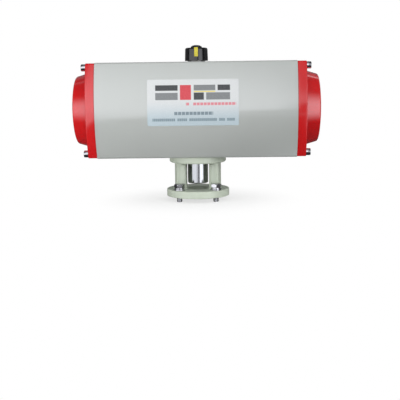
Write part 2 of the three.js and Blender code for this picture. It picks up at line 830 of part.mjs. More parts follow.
// flange bolts, M10 hexagon, with spring washer and flat washer
let flangeBolt = lathe(
  [
    [0, -25],
    [4.9, -25],
    [4.9, 0],
    [0, 0],
  ],
  12,
).add(
  prism(hex(16), 0, 7).intersect(
    lathe(
      [
        [0, -0.4],
        [9.4, -0.4],
        [9.4, 6],
        [7.7, 7],
        [0, 7],
      ],
      18,
    ),
  ),
);
const flangeBoltGeo = geometry(flangeBolt);
let springWasher = ring(5.2, 8.7, 0, 2.3, 18);
springWasher = springWasher.subtract(
  box(-0.7, 0.7, 3, 11, -1, 4).rotate([0, 25, 0]).translate([-0.5, 0, 0]),
);
const springWasherGeo = geometry(springWasher);
const flatWasherGeo = geometry(ring(5.3, 9.9, 0, 2, 18));
for (let i = 0; i < 4; i++) {
  const a = (-3 * PI) / 4 + (i * PI) / 2,
    n = String(i + 1);
  const bx = FLANGE_BOLT_R * Math.cos(a),
    by = FLANGE_BOLT_R * Math.sin(a);
  mesh("yoke_screw_" + n, yokeScrewGeo, STEEL, yokeGroup, [
    BASE_BOLT_R * Math.cos(a),
    BASE_BOLT_R * Math.sin(a),
    YOKE_TOP - YOKE_UP_T + 0.8,
  ]);
  mesh("flange_flat_washer_" + n, flatWasherGeo, STEEL, yokeGroup, [bx, by, YOKE_LOW_T + 0.1]);
  mesh("flange_spring_washer_" + n, springWasherGeo, STEEL, yokeGroup, [bx, by, YOKE_LOW_T + 2.2]);
  mesh(
    "flange_bolt_" + n,
    flangeBoltGeo,
    STEEL,
    yokeGroup,
    [bx, by, YOKE_LOW_T + 4.7],
    [0, 0, [0.35, 1.1, 0.6, 0.1][i]],
  );
}

// ---------- drive coupling ----------
// male square up into the shaft, female square for the valve stem below
let coupling = lathe(
  [
    [0, COUPLING_LOW],
    [COUPLING_R - 1, COUPLING_LOW],
    [COUPLING_R, COUPLING_LOW + 1],
    [COUPLING_R, YOKE_TOP - 0.4],
    [COUPLING_R - 0.8, YOKE_TOP + 0.3],
    [0, YOKE_TOP + 0.3],
  ],
  SHAFT_SEG,
);
coupling = coupling.add(prism(square(SQUARE), YOKE_TOP - 2, YOKE_TOP + 23));
coupling = coupling.subtract(prism(square(14.3), COUPLING_LOW - 1, COUPLING_LOW + 22));
mesh("drive_coupling", geometry(coupling), STEEL, yokeGroup);

export default root;
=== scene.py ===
"""Looks of a rotary pneumatic actuator on its yoke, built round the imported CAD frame.

All positions are in the CAD row frame, in metres; helpers take millimetres and scale them.
"""

import math

import bmesh
import bpy
import numpy as np
from mathutils import Euler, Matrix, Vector


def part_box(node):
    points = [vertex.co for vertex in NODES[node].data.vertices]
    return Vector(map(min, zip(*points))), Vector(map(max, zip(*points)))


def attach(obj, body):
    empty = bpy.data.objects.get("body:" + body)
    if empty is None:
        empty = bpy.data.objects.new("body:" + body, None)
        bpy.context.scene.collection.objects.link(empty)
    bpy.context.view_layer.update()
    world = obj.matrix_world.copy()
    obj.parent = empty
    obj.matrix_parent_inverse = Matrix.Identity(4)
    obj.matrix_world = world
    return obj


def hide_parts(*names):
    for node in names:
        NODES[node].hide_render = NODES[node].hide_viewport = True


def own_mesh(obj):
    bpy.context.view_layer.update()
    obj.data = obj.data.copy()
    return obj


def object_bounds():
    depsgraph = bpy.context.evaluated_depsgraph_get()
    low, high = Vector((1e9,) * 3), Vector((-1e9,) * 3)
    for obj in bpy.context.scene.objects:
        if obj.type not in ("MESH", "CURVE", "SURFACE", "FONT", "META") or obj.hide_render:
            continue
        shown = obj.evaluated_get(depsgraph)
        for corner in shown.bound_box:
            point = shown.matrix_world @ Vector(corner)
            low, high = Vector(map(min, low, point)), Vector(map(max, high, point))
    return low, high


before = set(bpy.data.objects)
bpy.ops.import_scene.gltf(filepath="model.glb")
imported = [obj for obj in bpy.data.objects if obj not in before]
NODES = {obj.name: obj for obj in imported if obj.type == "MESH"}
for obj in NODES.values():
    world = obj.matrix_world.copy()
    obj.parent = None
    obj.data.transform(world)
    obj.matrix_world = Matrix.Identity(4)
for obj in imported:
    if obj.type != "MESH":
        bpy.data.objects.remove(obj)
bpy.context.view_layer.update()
MM = 0.001


def mid(node):
    lo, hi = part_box(node)
    return (lo + hi) / 2 * 1000


# ---------------------------------------------------------------- dimensions (mm)
AXIS_Z = round(mid("cylinder_body").z, 3)
BODY_HALF = 170.0
BORE_R = 67.5
HALF_H, HALF_W, SIDE_R, CORNER = 80.8, 76.0, 186.8, 4.0
CAP_STEP = 0.8
CAP_T, DOME_L = 15.5, 24.5
DOME_R0, DOME_R1 = 65.6, 58.4
CUP_R = 51.0
CAP_END = BODY_HALF + CAP_T
DOME_END = CAP_END + DOME_L
YOKE_TOP = round(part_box("mounting_yoke")[1].z * 1000 + 0.1, 2)
YOKE_UP_T, YOKE_LOW_T = 12.0, 12.5
YOKE_UP_R, YOKE_LOW_R = 50.0, 55.5
STOP_Z = 31.0


# ---------------------------------------------------------------- mesh helpers
class Build:
    """Closed parts collected into one mesh, in millimetres."""

    def __init__(self):
        self.v, self.f = [], []

    def add(self, part):
        verts, faces = part
        n = len(self.v)
        self.v.extend([tuple(p) for p in verts])
        self.f.extend([tuple(i + n for i in f) for f in faces])
        return self


def loft(rings, wrap=False):
    """Rings are (n, 3) arrays with the same n, or single points as poles at the ends."""
    verts, faces, starts = [], [], []
    for r in rings:
        r = np.asarray(r, float)
        starts.append((len(verts), r.ndim))
        verts.extend(r.reshape(-1, 3).tolist())
    n = max(len(np.asarray(r)) for r in rings if np.asarray(r).ndim == 2)
    pairs = list(zip(starts[:-1], starts[1:]))
    if wrap:
        pairs.append((starts[-1], starts[0]))
    for (a, da), (b, db) in pairs:
        for i in range(n):
            j = (i + 1) % n
            if da == 1 and db == 2:
                faces.append((a, b + j, b + i))
            elif da == 2 and db == 1:
                faces.append((a + i, a + j, b))
            else:
                faces.append((a + i, a + j, b + j, b + i))
    if not wrap:
        if starts[0][1] == 2:
            faces.append(tuple(reversed(range(starts[0][0], starts[0][0] + n))))
        if starts[-1][1] == 2:
            faces.append(tuple(range(starts[-1][0], starts[-1][0] + n)))
    return verts, faces


def place(u, v, t, axis):
    """Cross coordinates u, v and t along the axis, as x, y, z."""
    if axis == "z":
        return np.stack([u, v, np.full_like(u, t)], 1)
    if axis == "x":
        return np.stack([np.full_like(u, t), u, v], 1)
    return np.stack([v, np.full_like(u, t), u], 1)


def revolve(profile, axis="z", centre=(0, 0, 0), n=64, wrap=False, phase=0.0):
    a = np.arange(n) * 2 * math.pi / n + phase
    c = np.array(centre, float)
    rings = []
    for r, t in profile:
        if r < 1e-9:
            p = {"z": (0, 0, t), "x": (t, 0, 0), "y": (0, t, 0)}[axis]
            rings.append(np.array(p, float) + c)
        else:
            rings.append(place(r * np.cos(a), r * np.sin(a), t, axis) + c)
    return loft(rings, wrap)


def rounded(points, radii, seg=5, closed=False):
    """A polyline with its corners rounded to the given radii."""
    pts = [np.array(p, float) for p in points]
    n = len(pts)
    out = []
    for i, p in enumerate(pts):
        r = radii[i]
        if r <= 0 or (not closed and i in (0, n - 1)):
            out.append(tuple(p))
            continue
        a, b = pts[(i - 1) % n] - p, pts[(i + 1) % n] - p
        la, lb = np.linalg.norm(a), np.linalg.norm(b)
        a, b = a / la, b / lb
        ang = math.acos(max(-1, min(1, float(a @ b))))
        d = min(r / math.tan(ang / 2), 0.49 * la, 0.49 * lb)
        rr = d * math.tan(ang / 2)
        bis = (a + b) / np.linalg.norm(a + b)
        centre = p + bis * (rr / math.sin(ang / 2))
        s, e = p + a * d - centre, p + b * d - centre
        s0 = math.atan2(s[1], s[0])
        sweep = (math.atan2(e[1], e[0]) - s0 + math.pi) % (2 * math.pi) - math.pi
        for k in range(seg + 1):
            t = s0 + sweep * k / seg
            out.append((centre[0] + rr * math.cos(t), centre[1] + rr * math.sin(t)))
    return out


def prism(outline, t0, t1, axis="z", centre=(0, 0, 0), edge=0.0):
    """A closed outline along an axis, with a small chamfer on both ends."""
    o = np.array(outline, float)
    mid_ = o.mean(0)
    c = np.array(centre, float)

    def ring(t, inset):
        d = o - mid_
        ln = np.linalg.norm(d, axis=1, keepdims=True)
        q = mid_ + d * (1 - inset / np.maximum(ln, 1e-6))
        return place(q[:, 0], q[:, 1], t, axis) + c

    if edge > 0:
        rings = [ring(t0, edge), ring(t0 + edge, 0), ring(t1 - edge, 0), ring(t1, edge)]
    else:
        rings = [ring(t0, 0), ring(t1, 0)]
    return loft(rings)


def rect(x0, x1, y0, y1):
    return [(x0, y0), (x1, y0), (x1, y1), (x0, y1)]


def cuboid(x0, x1, y0, y1, z0, z1):
    return prism(rect(x0, x1, y0, y1), z0, z1)


def finish_mesh(me, angle):
    bm = bmesh.new()
    bm.from_mesh(me)
    bmesh.ops.remove_doubles(bm, verts=bm.verts, dist=1e-7)
    bmesh.ops.recalc_face_normals(bm, faces=bm.faces)
    bm.to_mesh(me)
    bm.free()
    me.shade_smooth()
    me.set_sharp_from_angle(angle=math.radians(angle))


def raw(name, build):
    me = bpy.data.meshes.new(name)
    v = (np.array(build.v, float) * MM).tolist()
    me.from_pydata(v, [], build.f)
    me.update()
    bm = bmesh.new()
    bm.from_mesh(me)
    bmesh.ops.remove_doubles(bm, verts=bm.verts, dist=1e-8)
    bmesh.ops.recalc_face_normals(bm, faces=bm.faces)
    bm.to_mesh(me)
    bm.free()
    ob = bpy.data.objects.new(name, me)
    bpy.context.scene.collection.objects.link(ob)
    return ob


def bake_modifiers(ob):
    dg = bpy.context.evaluated_depsgraph_get()
    me = bpy.data.meshes.new_from_object(ob.evaluated_get(dg))
    old = ob.data
    ob.modifiers.clear()
    ob.data = me
    bpy.data.meshes.remove(old)


def boolean(ob, build, op="DIFFERENCE"):
    tool = raw("tool", build)
    m = ob.modifiers.new("b", "BOOLEAN")
    m.operation, m.object, m.solver = op, tool, "EXACT"
    bake_modifiers(ob)
    old = tool.data
    bpy.data.objects.remove(tool)
    bpy.data.meshes.remove(old)
    return ob


def done(ob, mat, body, replaces=(), angle=32, weighted=False):
    finish_mesh(ob.data, angle)
    ob.data.materials.clear()
    ob.data.materials.append(mat)
    if weighted:
        w = ob.modifiers.new("normals", "WEIGHTED_NORMAL")
        w.keep_sharp = True
        w.weight = 60
    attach(ob, body)
    if replaces:
        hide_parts(*([replaces] if isinstance(replaces, str) else replaces))
    return ob


def piece(name, parts, mat, body, replaces=(), angle=32, weighted=False):
    b = Build()
    for p in parts:
        b.add(p)
    return done(raw(name, b), mat, body, replaces, angle, weighted)


def turned(part, angle, centre):
    """A part turned about Z through centre, in degrees."""
    v, f = part
    v = np.array(v, float)
    a = math.radians(angle)
    x, y = v[:, 0] - centre[0], v[:, 1] - centre[1]
    v[:, 0] = centre[0] + x * math.cos(a) - y * math.sin(a)
    v[:, 1] = centre[1] + x * math.sin(a) + y * math.cos(a)
    return v.tolist(), f


def moved(part, dx=0, dy=0, dz=0):
    v, f = part
    return (np.array(v, float) + (dx, dy, dz)).tolist(), f


def flipped_x(part):
    v, f = part
    v = np.array(v, float)
    v[:, 0] *= -1
    return v.tolist(), [tuple(reversed(q)) for q in f]


def tilt_to(part, axis):
    """A part made along Z, laid along X or Y."""
    v, f = part
    v = np.array(v, float)
    if axis == "x":
        v = v[:, [2, 0, 1]]
    elif axis == "y":
        v = v[:, [1, 2, 0]]
    return v.tolist(), f


# ---------------------------------------------------------------- materials
def new_material(name):
    m = bpy.data.materials.new(name)
    m.use_nodes = True
    nt = m.node_tree
    nt.nodes.clear()
    out = nt.nodes.new("ShaderNodeOutputMaterial")
    bsdf = nt.nodes.new("ShaderNodeBsdfPrincipled")
    nt.links.new(bsdf.outputs[0], out.inputs[0])
    return m, nt, bsdf


def node(nt, kind, **values):
    n = nt.nodes.new(kind)
    for k, v in values.items():
        setattr(n, k, v)
    return n


def math_node(nt, op, a, b=None, clamp=False):
    n = node(nt, "ShaderNodeMath", operation=op, use_clamp=clamp)
    for i, x in enumerate((a, b)):
        if x is None:
            continue
        if isinstance(x, (int, float)):
            n.inputs[i].default_value = x
        else:
            nt.links.new(x, n.inputs[i])
    return n.outputs[0]


def step(nt, x, lo, hi, a=0.0, b=1.0, smooth=True):
    n = node(nt, "ShaderNodeMapRange", interpolation_type="SMOOTHSTEP" if smooth else "LINEAR", clamp=True)
    if lo > hi:
        lo, hi, a, b = hi, lo, b, a
    n.inputs[1].default_value, n.inputs[2].default_value = lo, hi
    n.inputs[3].default_value, n.inputs[4].default_value = a, b
    nt.links.new(x, n.inputs[0])
    return n.outputs[0]


def coords(nt, scale=(1, 1, 1), which="Object"):
    tc = node(nt, "ShaderNodeTexCoord")
    mp = node(nt, "ShaderNodeMapping")
    mp.inputs["Scale"].default_value = scale
    nt.links.new(tc.outputs[which], mp.inputs["Vector"])
    return mp.outputs[0]


def noise(nt, vec, scale, detail=3.0, rough=0.55):
    n = node(nt, "ShaderNodeTexNoise")
    n.inputs["Scale"].default_value = scale
    n.inputs["Detail"].default_value = detail
    n.inputs["Roughness"].default_value = rough
    nt.links.new(vec, n.inputs["Vector"])
    return n.outputs["Fac"]


def mix_color(nt, fac, a, b):
    n = node(nt, "ShaderNodeMix", data_type="RGBA", blend_type="MIX")
    ins = [i for i in n.inputs if i.enabled]
    if isinstance(fac, (int, float)):
        n.inputs[0].default_value = fac
    else:
        nt.links.new(fac, n.inputs[0])
    for sock, x in ((n.inputs[6], a), (n.inputs[7], b)):
        if isinstance(x, tuple):
            sock.default_value = (*x, 1)
        else:
            nt.links.new(x, sock)
    return n.outputs[2]


def bump(nt, bsdf, height, strength, distance, previous=None):
    n = node(nt, "ShaderNodeBump")
    n.inputs["Strength"].default_value = strength
    n.inputs["Distance"].default_value = distance
    nt.links.new(height, n.inputs["Height"])
    if previous is not None:
        nt.links.new(previous, n.inputs["Normal"])
    nt.links.new(n.outputs[0], bsdf.inputs["Normal"])
    return n.outputs[0]


def set_bsdf(bsdf, **kw):
    names = {
        "metallic": "Metallic",
        "ior": "IOR",
        "spec": "Specular IOR Level",
        "coat": "Coat Weight",
        "coat_rough": "Coat Roughness",
        "coat_ior": "Coat IOR",
        "aniso": "Anisotropic",
        "aniso_rot": "Anisotropic Rotation",
        "rough": "Roughness",
        "sheen": "Sheen Weight",
    }
    for k, v in kw.items():
        bsdf.inputs[names[k]].default_value = v


def scaled(c, k):
    return tuple(min(1.0, x * k) for x in c)


def anodised():
    """Satin anodised extrusion: fine draw lines along X and soft tonal drift."""
    m, nt, bsdf = new_material("anodised_aluminium")
    base = (0.563, 0.590, 0.557)
    lines = noise(nt, coords(nt, (3, 420, 420)), 6.0, 2.0)
    cloud = noise(nt, coords(nt, (1, 1, 1)), 14.0, 3.0)
    grain = noise(nt, coords(nt, (900, 2400, 2400)), 1.0, 2.0)
    f = math_node(nt, "ADD", math_node(nt, "MULTIPLY", lines, 0.35), math_node(nt, "MULTIPLY", cloud, 0.65))
    nt.links.new(mix_color(nt, f, scaled(base, 0.965), scaled(base, 1.035)), bsdf.inputs["Base Color"])
    r = math_node(nt, "ADD", math_node(nt, "MULTIPLY", lines, 0.06), math_node(nt, "MULTIPLY", grain, 0.05))
    nt.links.new(math_node(nt, "ADD", r, 0.43), bsdf.inputs["Roughness"])
    b = bump(nt, bsdf, lines, 0.12, 0.00002)
    bump(nt, bsdf, grain, 0.08, 0.00001, b)
    set_bsdf(bsdf, metallic=0.50, spec=0.5, ior=1.5, coat=1.0, coat_rough=0.12, coat_ior=1.88, aniso=0.9, aniso_rot=0.25)
    return m


def machined(name, base, rough, axis="z", depth=0.10):
    """Bare machined metal with fine tool lines."""
    m, nt, bsdf = new_material(name)
    sc = {"z": (30, 30, 1800), "x": (1800, 30, 30), "y": (30, 1800, 30)}[axis]
    lines = noise(nt, coords(nt, sc), 1.0, 2.0)
    cloud = noise(nt, coords(nt), 60.0, 3.0)
    nt.links.new(mix_color(nt, cloud, scaled(base, 0.94), scaled(base, 1.05)), bsdf.inputs["Base Color"])
    r = math_node(nt, "ADD", math_node(nt, "MULTIPLY", lines, 0.10), rough - 0.05)
    nt.links.new(r, bsdf.inputs["Roughness"])
    bump(nt, bsdf, lines, depth, 0.00002)
    set_bsdf(bsdf, metallic=1.0)
    return m


def red_coat():
    """Glossy powder coat: deep red, faint orange peel, a few specks."""
    m, nt, bsdf = new_material("red_coat")
    base = (0.500, 0.0018, 0.0030)
    cloud = noise(nt, coords(nt), 22.0, 4.0)
    peel = noise(nt, coords(nt), 420.0, 2.0, 0.4)
    fine = noise(nt, coords(nt), 1500.0, 2.0)
    nt.links.new(mix_color(nt, cloud, scaled(base, 0.93), scaled(base, 1.06)), bsdf.inputs["Base Color"])
    r = math_node(nt, "ADD", math_node(nt, "MULTIPLY", cloud, 0.05), 0.17)
    nt.links.new(r, bsdf.inputs["Roughness"])
    b = bump(nt, bsdf, peel, 0.16, 0.00006)
    bump(nt, bsdf, fine, 0.05, 0.00002, b)
    set_bsdf(bsdf, metallic=0.0, spec=0.8, ior=1.5, coat=0.6, coat_rough=0.08, coat_ior=1.6)
    return m


def green_coat():
    """Pale green enamel over a casting: soft pebbled surface, lighter on high spots."""
    m, nt, bsdf = new_material("green_coat")
    base = (0.505, 0.560, 0.462)
    cloud = noise(nt, coords(nt), 45.0, 4.0)
    cast = noise(nt, coords(nt), 380.0, 3.0, 0.6)
    fine = noise(nt, coords(nt), 1400.0, 2.0)
    f = math_node(nt, "ADD", math_node(nt, "MULTIPLY", cloud, 0.6), math_node(nt, "MULTIPLY", cast, 0.4))
    nt.links.new(mix_color(nt, f, scaled(base, 0.92), scaled(base, 1.07)), bsdf.inputs["Base Color"])
    r = math_node(nt, "ADD", math_node(nt, "MULTIPLY", cast, 0.12), 0.27)
    nt.links.new(r, bsdf.inputs["Roughness"])
    b = bump(nt, bsdf, cast, 0.22, 0.00015)
    bump(nt, bsdf, fine, 0.06, 0.00003, b)
    set_bsdf(bsdf, metallic=0.0, spec=0.6, ior=1.5)
    return m


def stainless(name, base=(0.62, 0.62, 0.63), rough=0.14, scale=1.0):
    """Bright stainless fastener: small handling marks, uneven gloss."""
    m, nt, bsdf = new_material(name)
    cloud = noise(nt, coords(nt), 180.0 * scale, 4.0)
    marks = noise(nt, coords(nt, (1, 1, 0.25)), 1600.0 * scale, 3.0, 0.7)
    nt.links.new(mix_color(nt, cloud, scaled(base, 0.90), scaled(base, 1.06)), bsdf.inputs["Base Color"])
    r = math_node(nt, "ADD", math_node(nt, "MULTIPLY", marks, 0.14), rough - 0.07)
    nt.links.new(r, bsdf.inputs["Roughness"])
    bump(nt, bsdf, marks, 0.10, 0.00002)
    set_bsdf(bsdf, metallic=1.0)
    return m


def plastic(name, base, rough, spec=0.5, pebble=0.10):
    """Moulded plastic with a fine spark-eroded texture."""
    m, nt, bsdf = new_material(name)
    cloud = noise(nt, coords(nt), 70.0, 3.0)
    grain = noise(nt, coords(nt), 2600.0, 3.0, 0.6)
    nt.links.new(mix_color(nt, cloud, scaled(base, 0.90), scaled(base, 1.10)), bsdf.inputs["Base Color"])
    r = math_node(nt, "ADD", math_node(nt, "MULTIPLY", grain, 0.12), rough - 0.06)
    nt.links.new(r, bsdf.inputs["Roughness"])
    bump(nt, bsdf, grain, pebble, 0.00004)
    set_bsdf(bsdf, metallic=0.0, spec=spec)
    return m


def label_print():
    """A generic printed film: white running into pale blue, plain blocks and ruled dashes."""
    m, nt, bsdf = new_material("label_print")
    uv = node(nt, "ShaderNodeUVMap", uv_map="label")
    sep = node(nt, "ShaderNodeSeparateXYZ")
    nt.links.new(uv.outputs[0], sep.inputs[0])
    u, v = sep.outputs[0], sep.outputs[1]

    def band(x, a, b, e=0.004):
        lo = step(nt, x, a - e, a + e)
        hi = step(nt, x, b - e, b + e, 1.0, 0.0)
        return math_node(nt, "MULTIPLY", lo, hi)

    def block(u0, u1, v0, v1):
        return math_node(nt, "MULTIPLY", band(u, u0, u1, 0.003), band(v, v0, v1, 0.006))

    fade = step(nt, v, 0.06, 0.62)
    col = mix_color(nt, fade, (0.400, 0.480, 0.520), (0.560, 0.575, 0.578))
    dark, grey, red, sun = (0.040, 0.042, 0.044), (0.175, 0.185, 0.190), (0.52, 0.045, 0.060), (0.66, 0.52, 0.06)
    for u0, u1, v0, v1, c in (
        (0.090, 0.335, 0.760, 0.880, dark),
        (0.090, 0.335, 0.560, 0.715, grey),
        (0.360, 0.480, 0.560, 0.880, red),
        (0.510, 0.745, 0.760, 0.880, grey),
        (0.510, 0.620, 0.560, 0.715, dark),
        (0.645, 0.905, 0.560, 0.715, grey),
        (0.770, 0.905, 0.760, 0.880, dark),
        (0.510, 0.745, 0.728, 0.747, sun),
    ):
        col = mix_color(nt, block(u0, u1, v0, v1), col, c)

    def dashes(u0, u1, v0, v1, count, seed, c, keep):
        nonlocal col
        cell = math_node(nt, "MULTIPLY", u, float(count))
        idx = math_node(nt, "FLOOR", cell)
        frac = math_node(nt, "FRACT", cell)
        wn = node(nt, "ShaderNodeTexWhiteNoise", noise_dimensions="1D")
        nt.links.new(math_node(nt, "ADD", idx, seed), wn.inputs["W"])
        on = math_node(nt, "LESS_THAN", wn.outputs["Value"], keep)
        inside = band(frac, 0.08, 0.92, 0.05)
        f = math_node(nt, "MULTIPLY", math_node(nt, "MULTIPLY", on, inside), block(u0, u1, v0, v1))
        col = mix_color(nt, f, col, c)

    dashes(0.42, 0.97, 0.440, 0.500, 26, 3.0, (0.58, 0.20, 0.23), 0.85)
    dashes(0.29, 0.72, 0.232, 0.302, 24, 11.0, (0.17, 0.22, 0.25), 0.85)
    dashes(0.055, 0.955, 0.098, 0.160, 46, 23.0, (0.19, 0.25, 0.28), 0.85)
    nt.links.new(col, bsdf.inputs["Base Color"])
    grain = noise(nt, coords(nt), 900.0, 2.0)
    r = math_node(nt, "ADD", math_node(nt, "MULTIPLY", grain, 0.06), 0.24)
    nt.links.new(r, bsdf.inputs["Roughness"])
    bump(nt, bsdf, grain, 0.04, 0.00002)
    set_bsdf(bsdf, metallic=0.0, spec=0.5)
    return m


ANOD = anodised()
RED = red_coat()
GREEN = green_coat()
INOX = stainless("stainless_fastener")
INOX_BRIGHT = machined("turned_stainless", (0.440, 0.450, 0.457), 0.11, depth=0.03)
BLACK = plastic("black_plastic", (0.0050, 0.0054, 0.0058), 0.17, 0.66)
YELLOW = plastic("yellow_plastic", (0.56, 0.485, 0.030), 0.34)
ACETAL = plastic("acetal", (0.80, 0.78, 0.70), 0.42)
RUBBER = plastic("rubber", (0.012, 0.012, 0.012), 0.62, 0.4, 0.2)
CAST = machined("machined_die_casting", (0.50, 0.51, 0.52), 0.36, "x")
NICKEL = machined("nickel_plated_steel", (0.42, 0.41, 0.40), 0.24)
SPRING = plastic("spring_paint", (0.045, 0.055, 0.07), 0.34, 0.6, 0.05)
PRINT = label_print()


# ---------------------------------------------------------------- the extruded section
def section_line(inset=0.0, n_side=240, n_corner=60, n_flat=160):
    side_c = HALF_W - SIDE_R
    r, h = SIDE_R - inset, HALF_H - inset
    cr = max(CORNER - inset, 0.4)
    cz = h - cr
    cy = side_c + math.sqrt((r - cr) ** 2 - cz * cz)
    side = math.atan2(cz, cy - side_c)
    q = []
    for a in np.linspace(0, side, n_side):
        q.append((side_c + r * math.cos(a), r * math.sin(a)))
    for a in np.linspace(side, math.pi / 2, n_corner)[1:]:
        q.append((cy + cr * math.cos(a), cz + cr * math.sin(a)))
    for y in np.linspace(cy, 0, n_flat)[1:]:
        q.append((y, h))
    q = np.array(q)
    right = np.concatenate([(q * (1, -1))[::-1][:-1], q])
    left = -right
    return np.concatenate([right[:-1], left[:-1]])


def section_angles():
    corner = math.degrees(math.atan2(HALF_H - 1.5, 56.6))
    base = list(np.arange(0, 360, 2.5))
    for s in (corner, 180 - corner, 180 + corner, 360 - corner):
        base += list(s + np.arange(-3.4, 3.41, 0.4))
    base = sorted(set(round(b % 360, 3) for b in base))
    keep = [base[0]]
    for b in base[1:]:
        if b - keep[-1] > 0.3:
            keep.append(b)
    return np.radians(keep)


THETA = section_angles()


def section_ring(x, inset=0.0):
    p = section_line(inset)
    a = np.unwrap(np.arctan2(p[:, 1], p[:, 0]))
    r = np.hypot(p[:, 0], p[:, 1])
    order = np.argsort(a % (2 * math.pi))
    aa, rr = (a % (2 * math.pi))[order], r[order]
    aa = np.concatenate([aa - 2 * math.pi, aa, aa + 2 * math.pi])
    rr = np.concatenate([rr, rr, rr])
    R = np.interp(THETA, aa, rr)
    return np.stack([np.full_like(R, x), R * np.cos(THETA), R * np.sin(THETA) + AXIS_Z], 1)


def round_ring(x, r):
    return np.stack([np.full_like(THETA, x), r * np.cos(THETA), r * np.sin(THETA) + AXIS_Z], 1)


# ---------------------------------------------------------------- cylinder body
def make_body():
    e = 0.35
    rings = [
        round_ring(-BODY_HALF, BORE_R + 0.6),
        section_ring(-BODY_HALF, e),
        section_ring(-BODY_HALF + e, 0),
        section_ring(BODY_HALF - e, 0),
        section_ring(BODY_HALF, e),
        round_ring(BODY_HALF, BORE_R + 0.6),
        round_ring(BODY_HALF - 1.2, BORE_R),
        round_ring(-BODY_HALF + 1.2, BORE_R),
    ]
    b = Build()
    b.add(loft(rings, wrap=True))
    body = raw("cylinder_shell", b)

    def hole(axis, r, deep, top, u, v, n=32, csk=0.5, cone=True):
        """A blind or through hole from the surface at `top` down to `deep`, with a countersunk lip."""
        s = 1 if top > deep else -1
        prof = [(0, top + s * 2), (r + csk, top + s * 2), (r + csk, top), (r, top - s * csk), (r, deep)]
        prof.append((0, deep - s * (r * 0.35 if cone else 0)))
        c = {"z": (u, v, AXIS_Z), "y": (u, 0, v + AXIS_Z)}[axis]
        return revolve(prof, axis, c, n)

    # air pad first, then everything that opens into it
    boolean(body, Build().add(cuboid(-52, 52, 74.5, 82, AXIS_Z - 22, AXIS_Z + 22)))
    tools = Build()
    tools.add(
        revolve(
            [(0, 60), (20.7, 60), (20.7, 73), (18.0, 73), (18.0, 77.7), (18.3, 78.0), (24.6, 78.0), (25.0, 78.3), (25.0, 80.5), (25.4, 80.9), (25.4, 84), (0, 84)],
            "z", (0, 0, AXIS_Z), 72)
    )
    tools.add(
        revolve(
            [(0, -84), (29.0, -84), (29.0, -80.8), (28.5, -80.3), (28.5, -72), (26.1, -72), (26.1, -60), (0, -60)],
            "z", (0, 0, AXIS_Z), 72)
    )
    for x in (-40, 40):
        for y in (-15, 15):
            tools.add(hole("z", 2.1, 71, HALF_H, x, y, 24, 0.4))
    for i in range(4):
        a = math.pi / 4 + i * math.pi / 2
        tools.add(hole("z", 4.1, -67, -HALF_H, 35 * math.cos(a), 35 * math.sin(a), 28, 0.5))
    tools.add(hole("y", 5.9, 60, 74.5, 12, 0, 40, 0.7, False))
    tools.add(hole("y", 5.9, 68.9, 74.5, -12, 0, 40, 0.7))
    for x in (-16, 16):
        for z in (-12, 12):
            tools.add(hole("y", 2.1, 69, 74.5, x, z, 24, 0.4))
    for x in (-30, 30):
        tools.add(revolve([(0, 50), (5.2, 50), (5.2, 72), (11, 72), (11, 82), (0, 82)], "y", (x, 0, AXIS_Z + STOP_Z), 48))
    for sx in (-1, 1):
        for y in (-50, 50):
            for z in (-72.8, 72.8):
                tools.add(revolve([(0, sx * 172), (4.1, sx * 172), (4.1, sx * 147), (0, sx * 145)], "x", (0, y, AXIS_Z + z), 20))
    boolean(body, tools)
    done(body, ANOD, "housing", "cylinder_body", 28, True)
    return body


make_body()


# ---------------------------------------------------------------- end caps
def cap_rings():
    x0 = BODY_HALF + 0.1
    rings = []
    # inner cup, from its floor outwards
    cup = DOME_END - 7
    rings.append(np.array((cup, 0, AXIS_Z)))
    for r, x in rounded([(0, cup), (CUP_R, cup), (CUP_R, BODY_HALF - 9)], [0, 4, 0], 4)[1:]:
        rings.append(round_ring(x, r))
    # spigot with its seal groove
    for r, x in [(66.4, BODY_HALF - 9), (67.0, BODY_HALF - 8.4), (67.0, BODY_HALF - 6.4), (63.6, BODY_HALF - 6.4),
                 (63.6, BODY_HALF - 2.2), (67.0, BODY_HALF - 2.2), (67.0, x0)]:
        rings.append(round_ring(x, r))
    # flange: inner face, edge, rounded outer edge
    rings.append(section_ring(x0, CAP_STEP + 0.35))
    rings.append(section_ring(x0 + 0.35, CAP_STEP))
    b = 1.3
    for k in range(6):
        t = k / 5 * math.pi / 2
        rings.append(section_ring(CAP_END - b + b * math.sin(t), CAP_STEP + b * (1 - math.cos(t))))
    # flange face to dome: base fillet, tapered side, rounded rim, shallow recess
    r0, r1 = DOME_R0, DOME_R1
    prof = rounded(
        [(r0 + 4.5, CAP_END), (r0, CAP_END), (r1, DOME_END), (46.5, DOME_END), (44.5, DOME_END - 1.8), (0, DOME_END - 1.8)],
        [0, 1.6, 3.4, 1.2, 1.2, 0], 8)
    for r, x in prof[:-1]:
        rings.append(round_ring(x, r))
    # a soft circular step and a small centre dimple on the end face
    rings.append(round_ring(DOME_END - 1.8, 22.0))
    rings.append(round_ring(DOME_END - 1.8, 4.0))
    rings.append(round_ring(DOME_END - 2.1, 3.0))
    rings.append(np.array((DOME_END - 2.1, 0, AXIS_Z)))
    return rings


def make_caps():
    part = loft(cap_rings())
    piece("end_cap_casting_right", [part], RED, "housing", "end_cap_right", 30)
    piece("end_cap_casting_left", [flipped_x(part)], RED, "housing", "end_cap_left", 30)


make_caps()


# ---------------------------------------------------------------- socket head cap screws
def hex_r(a, af):
    k = np.mod(a, math.pi / 3) - math.pi / 6
    return af / 2 / np.cos(k)


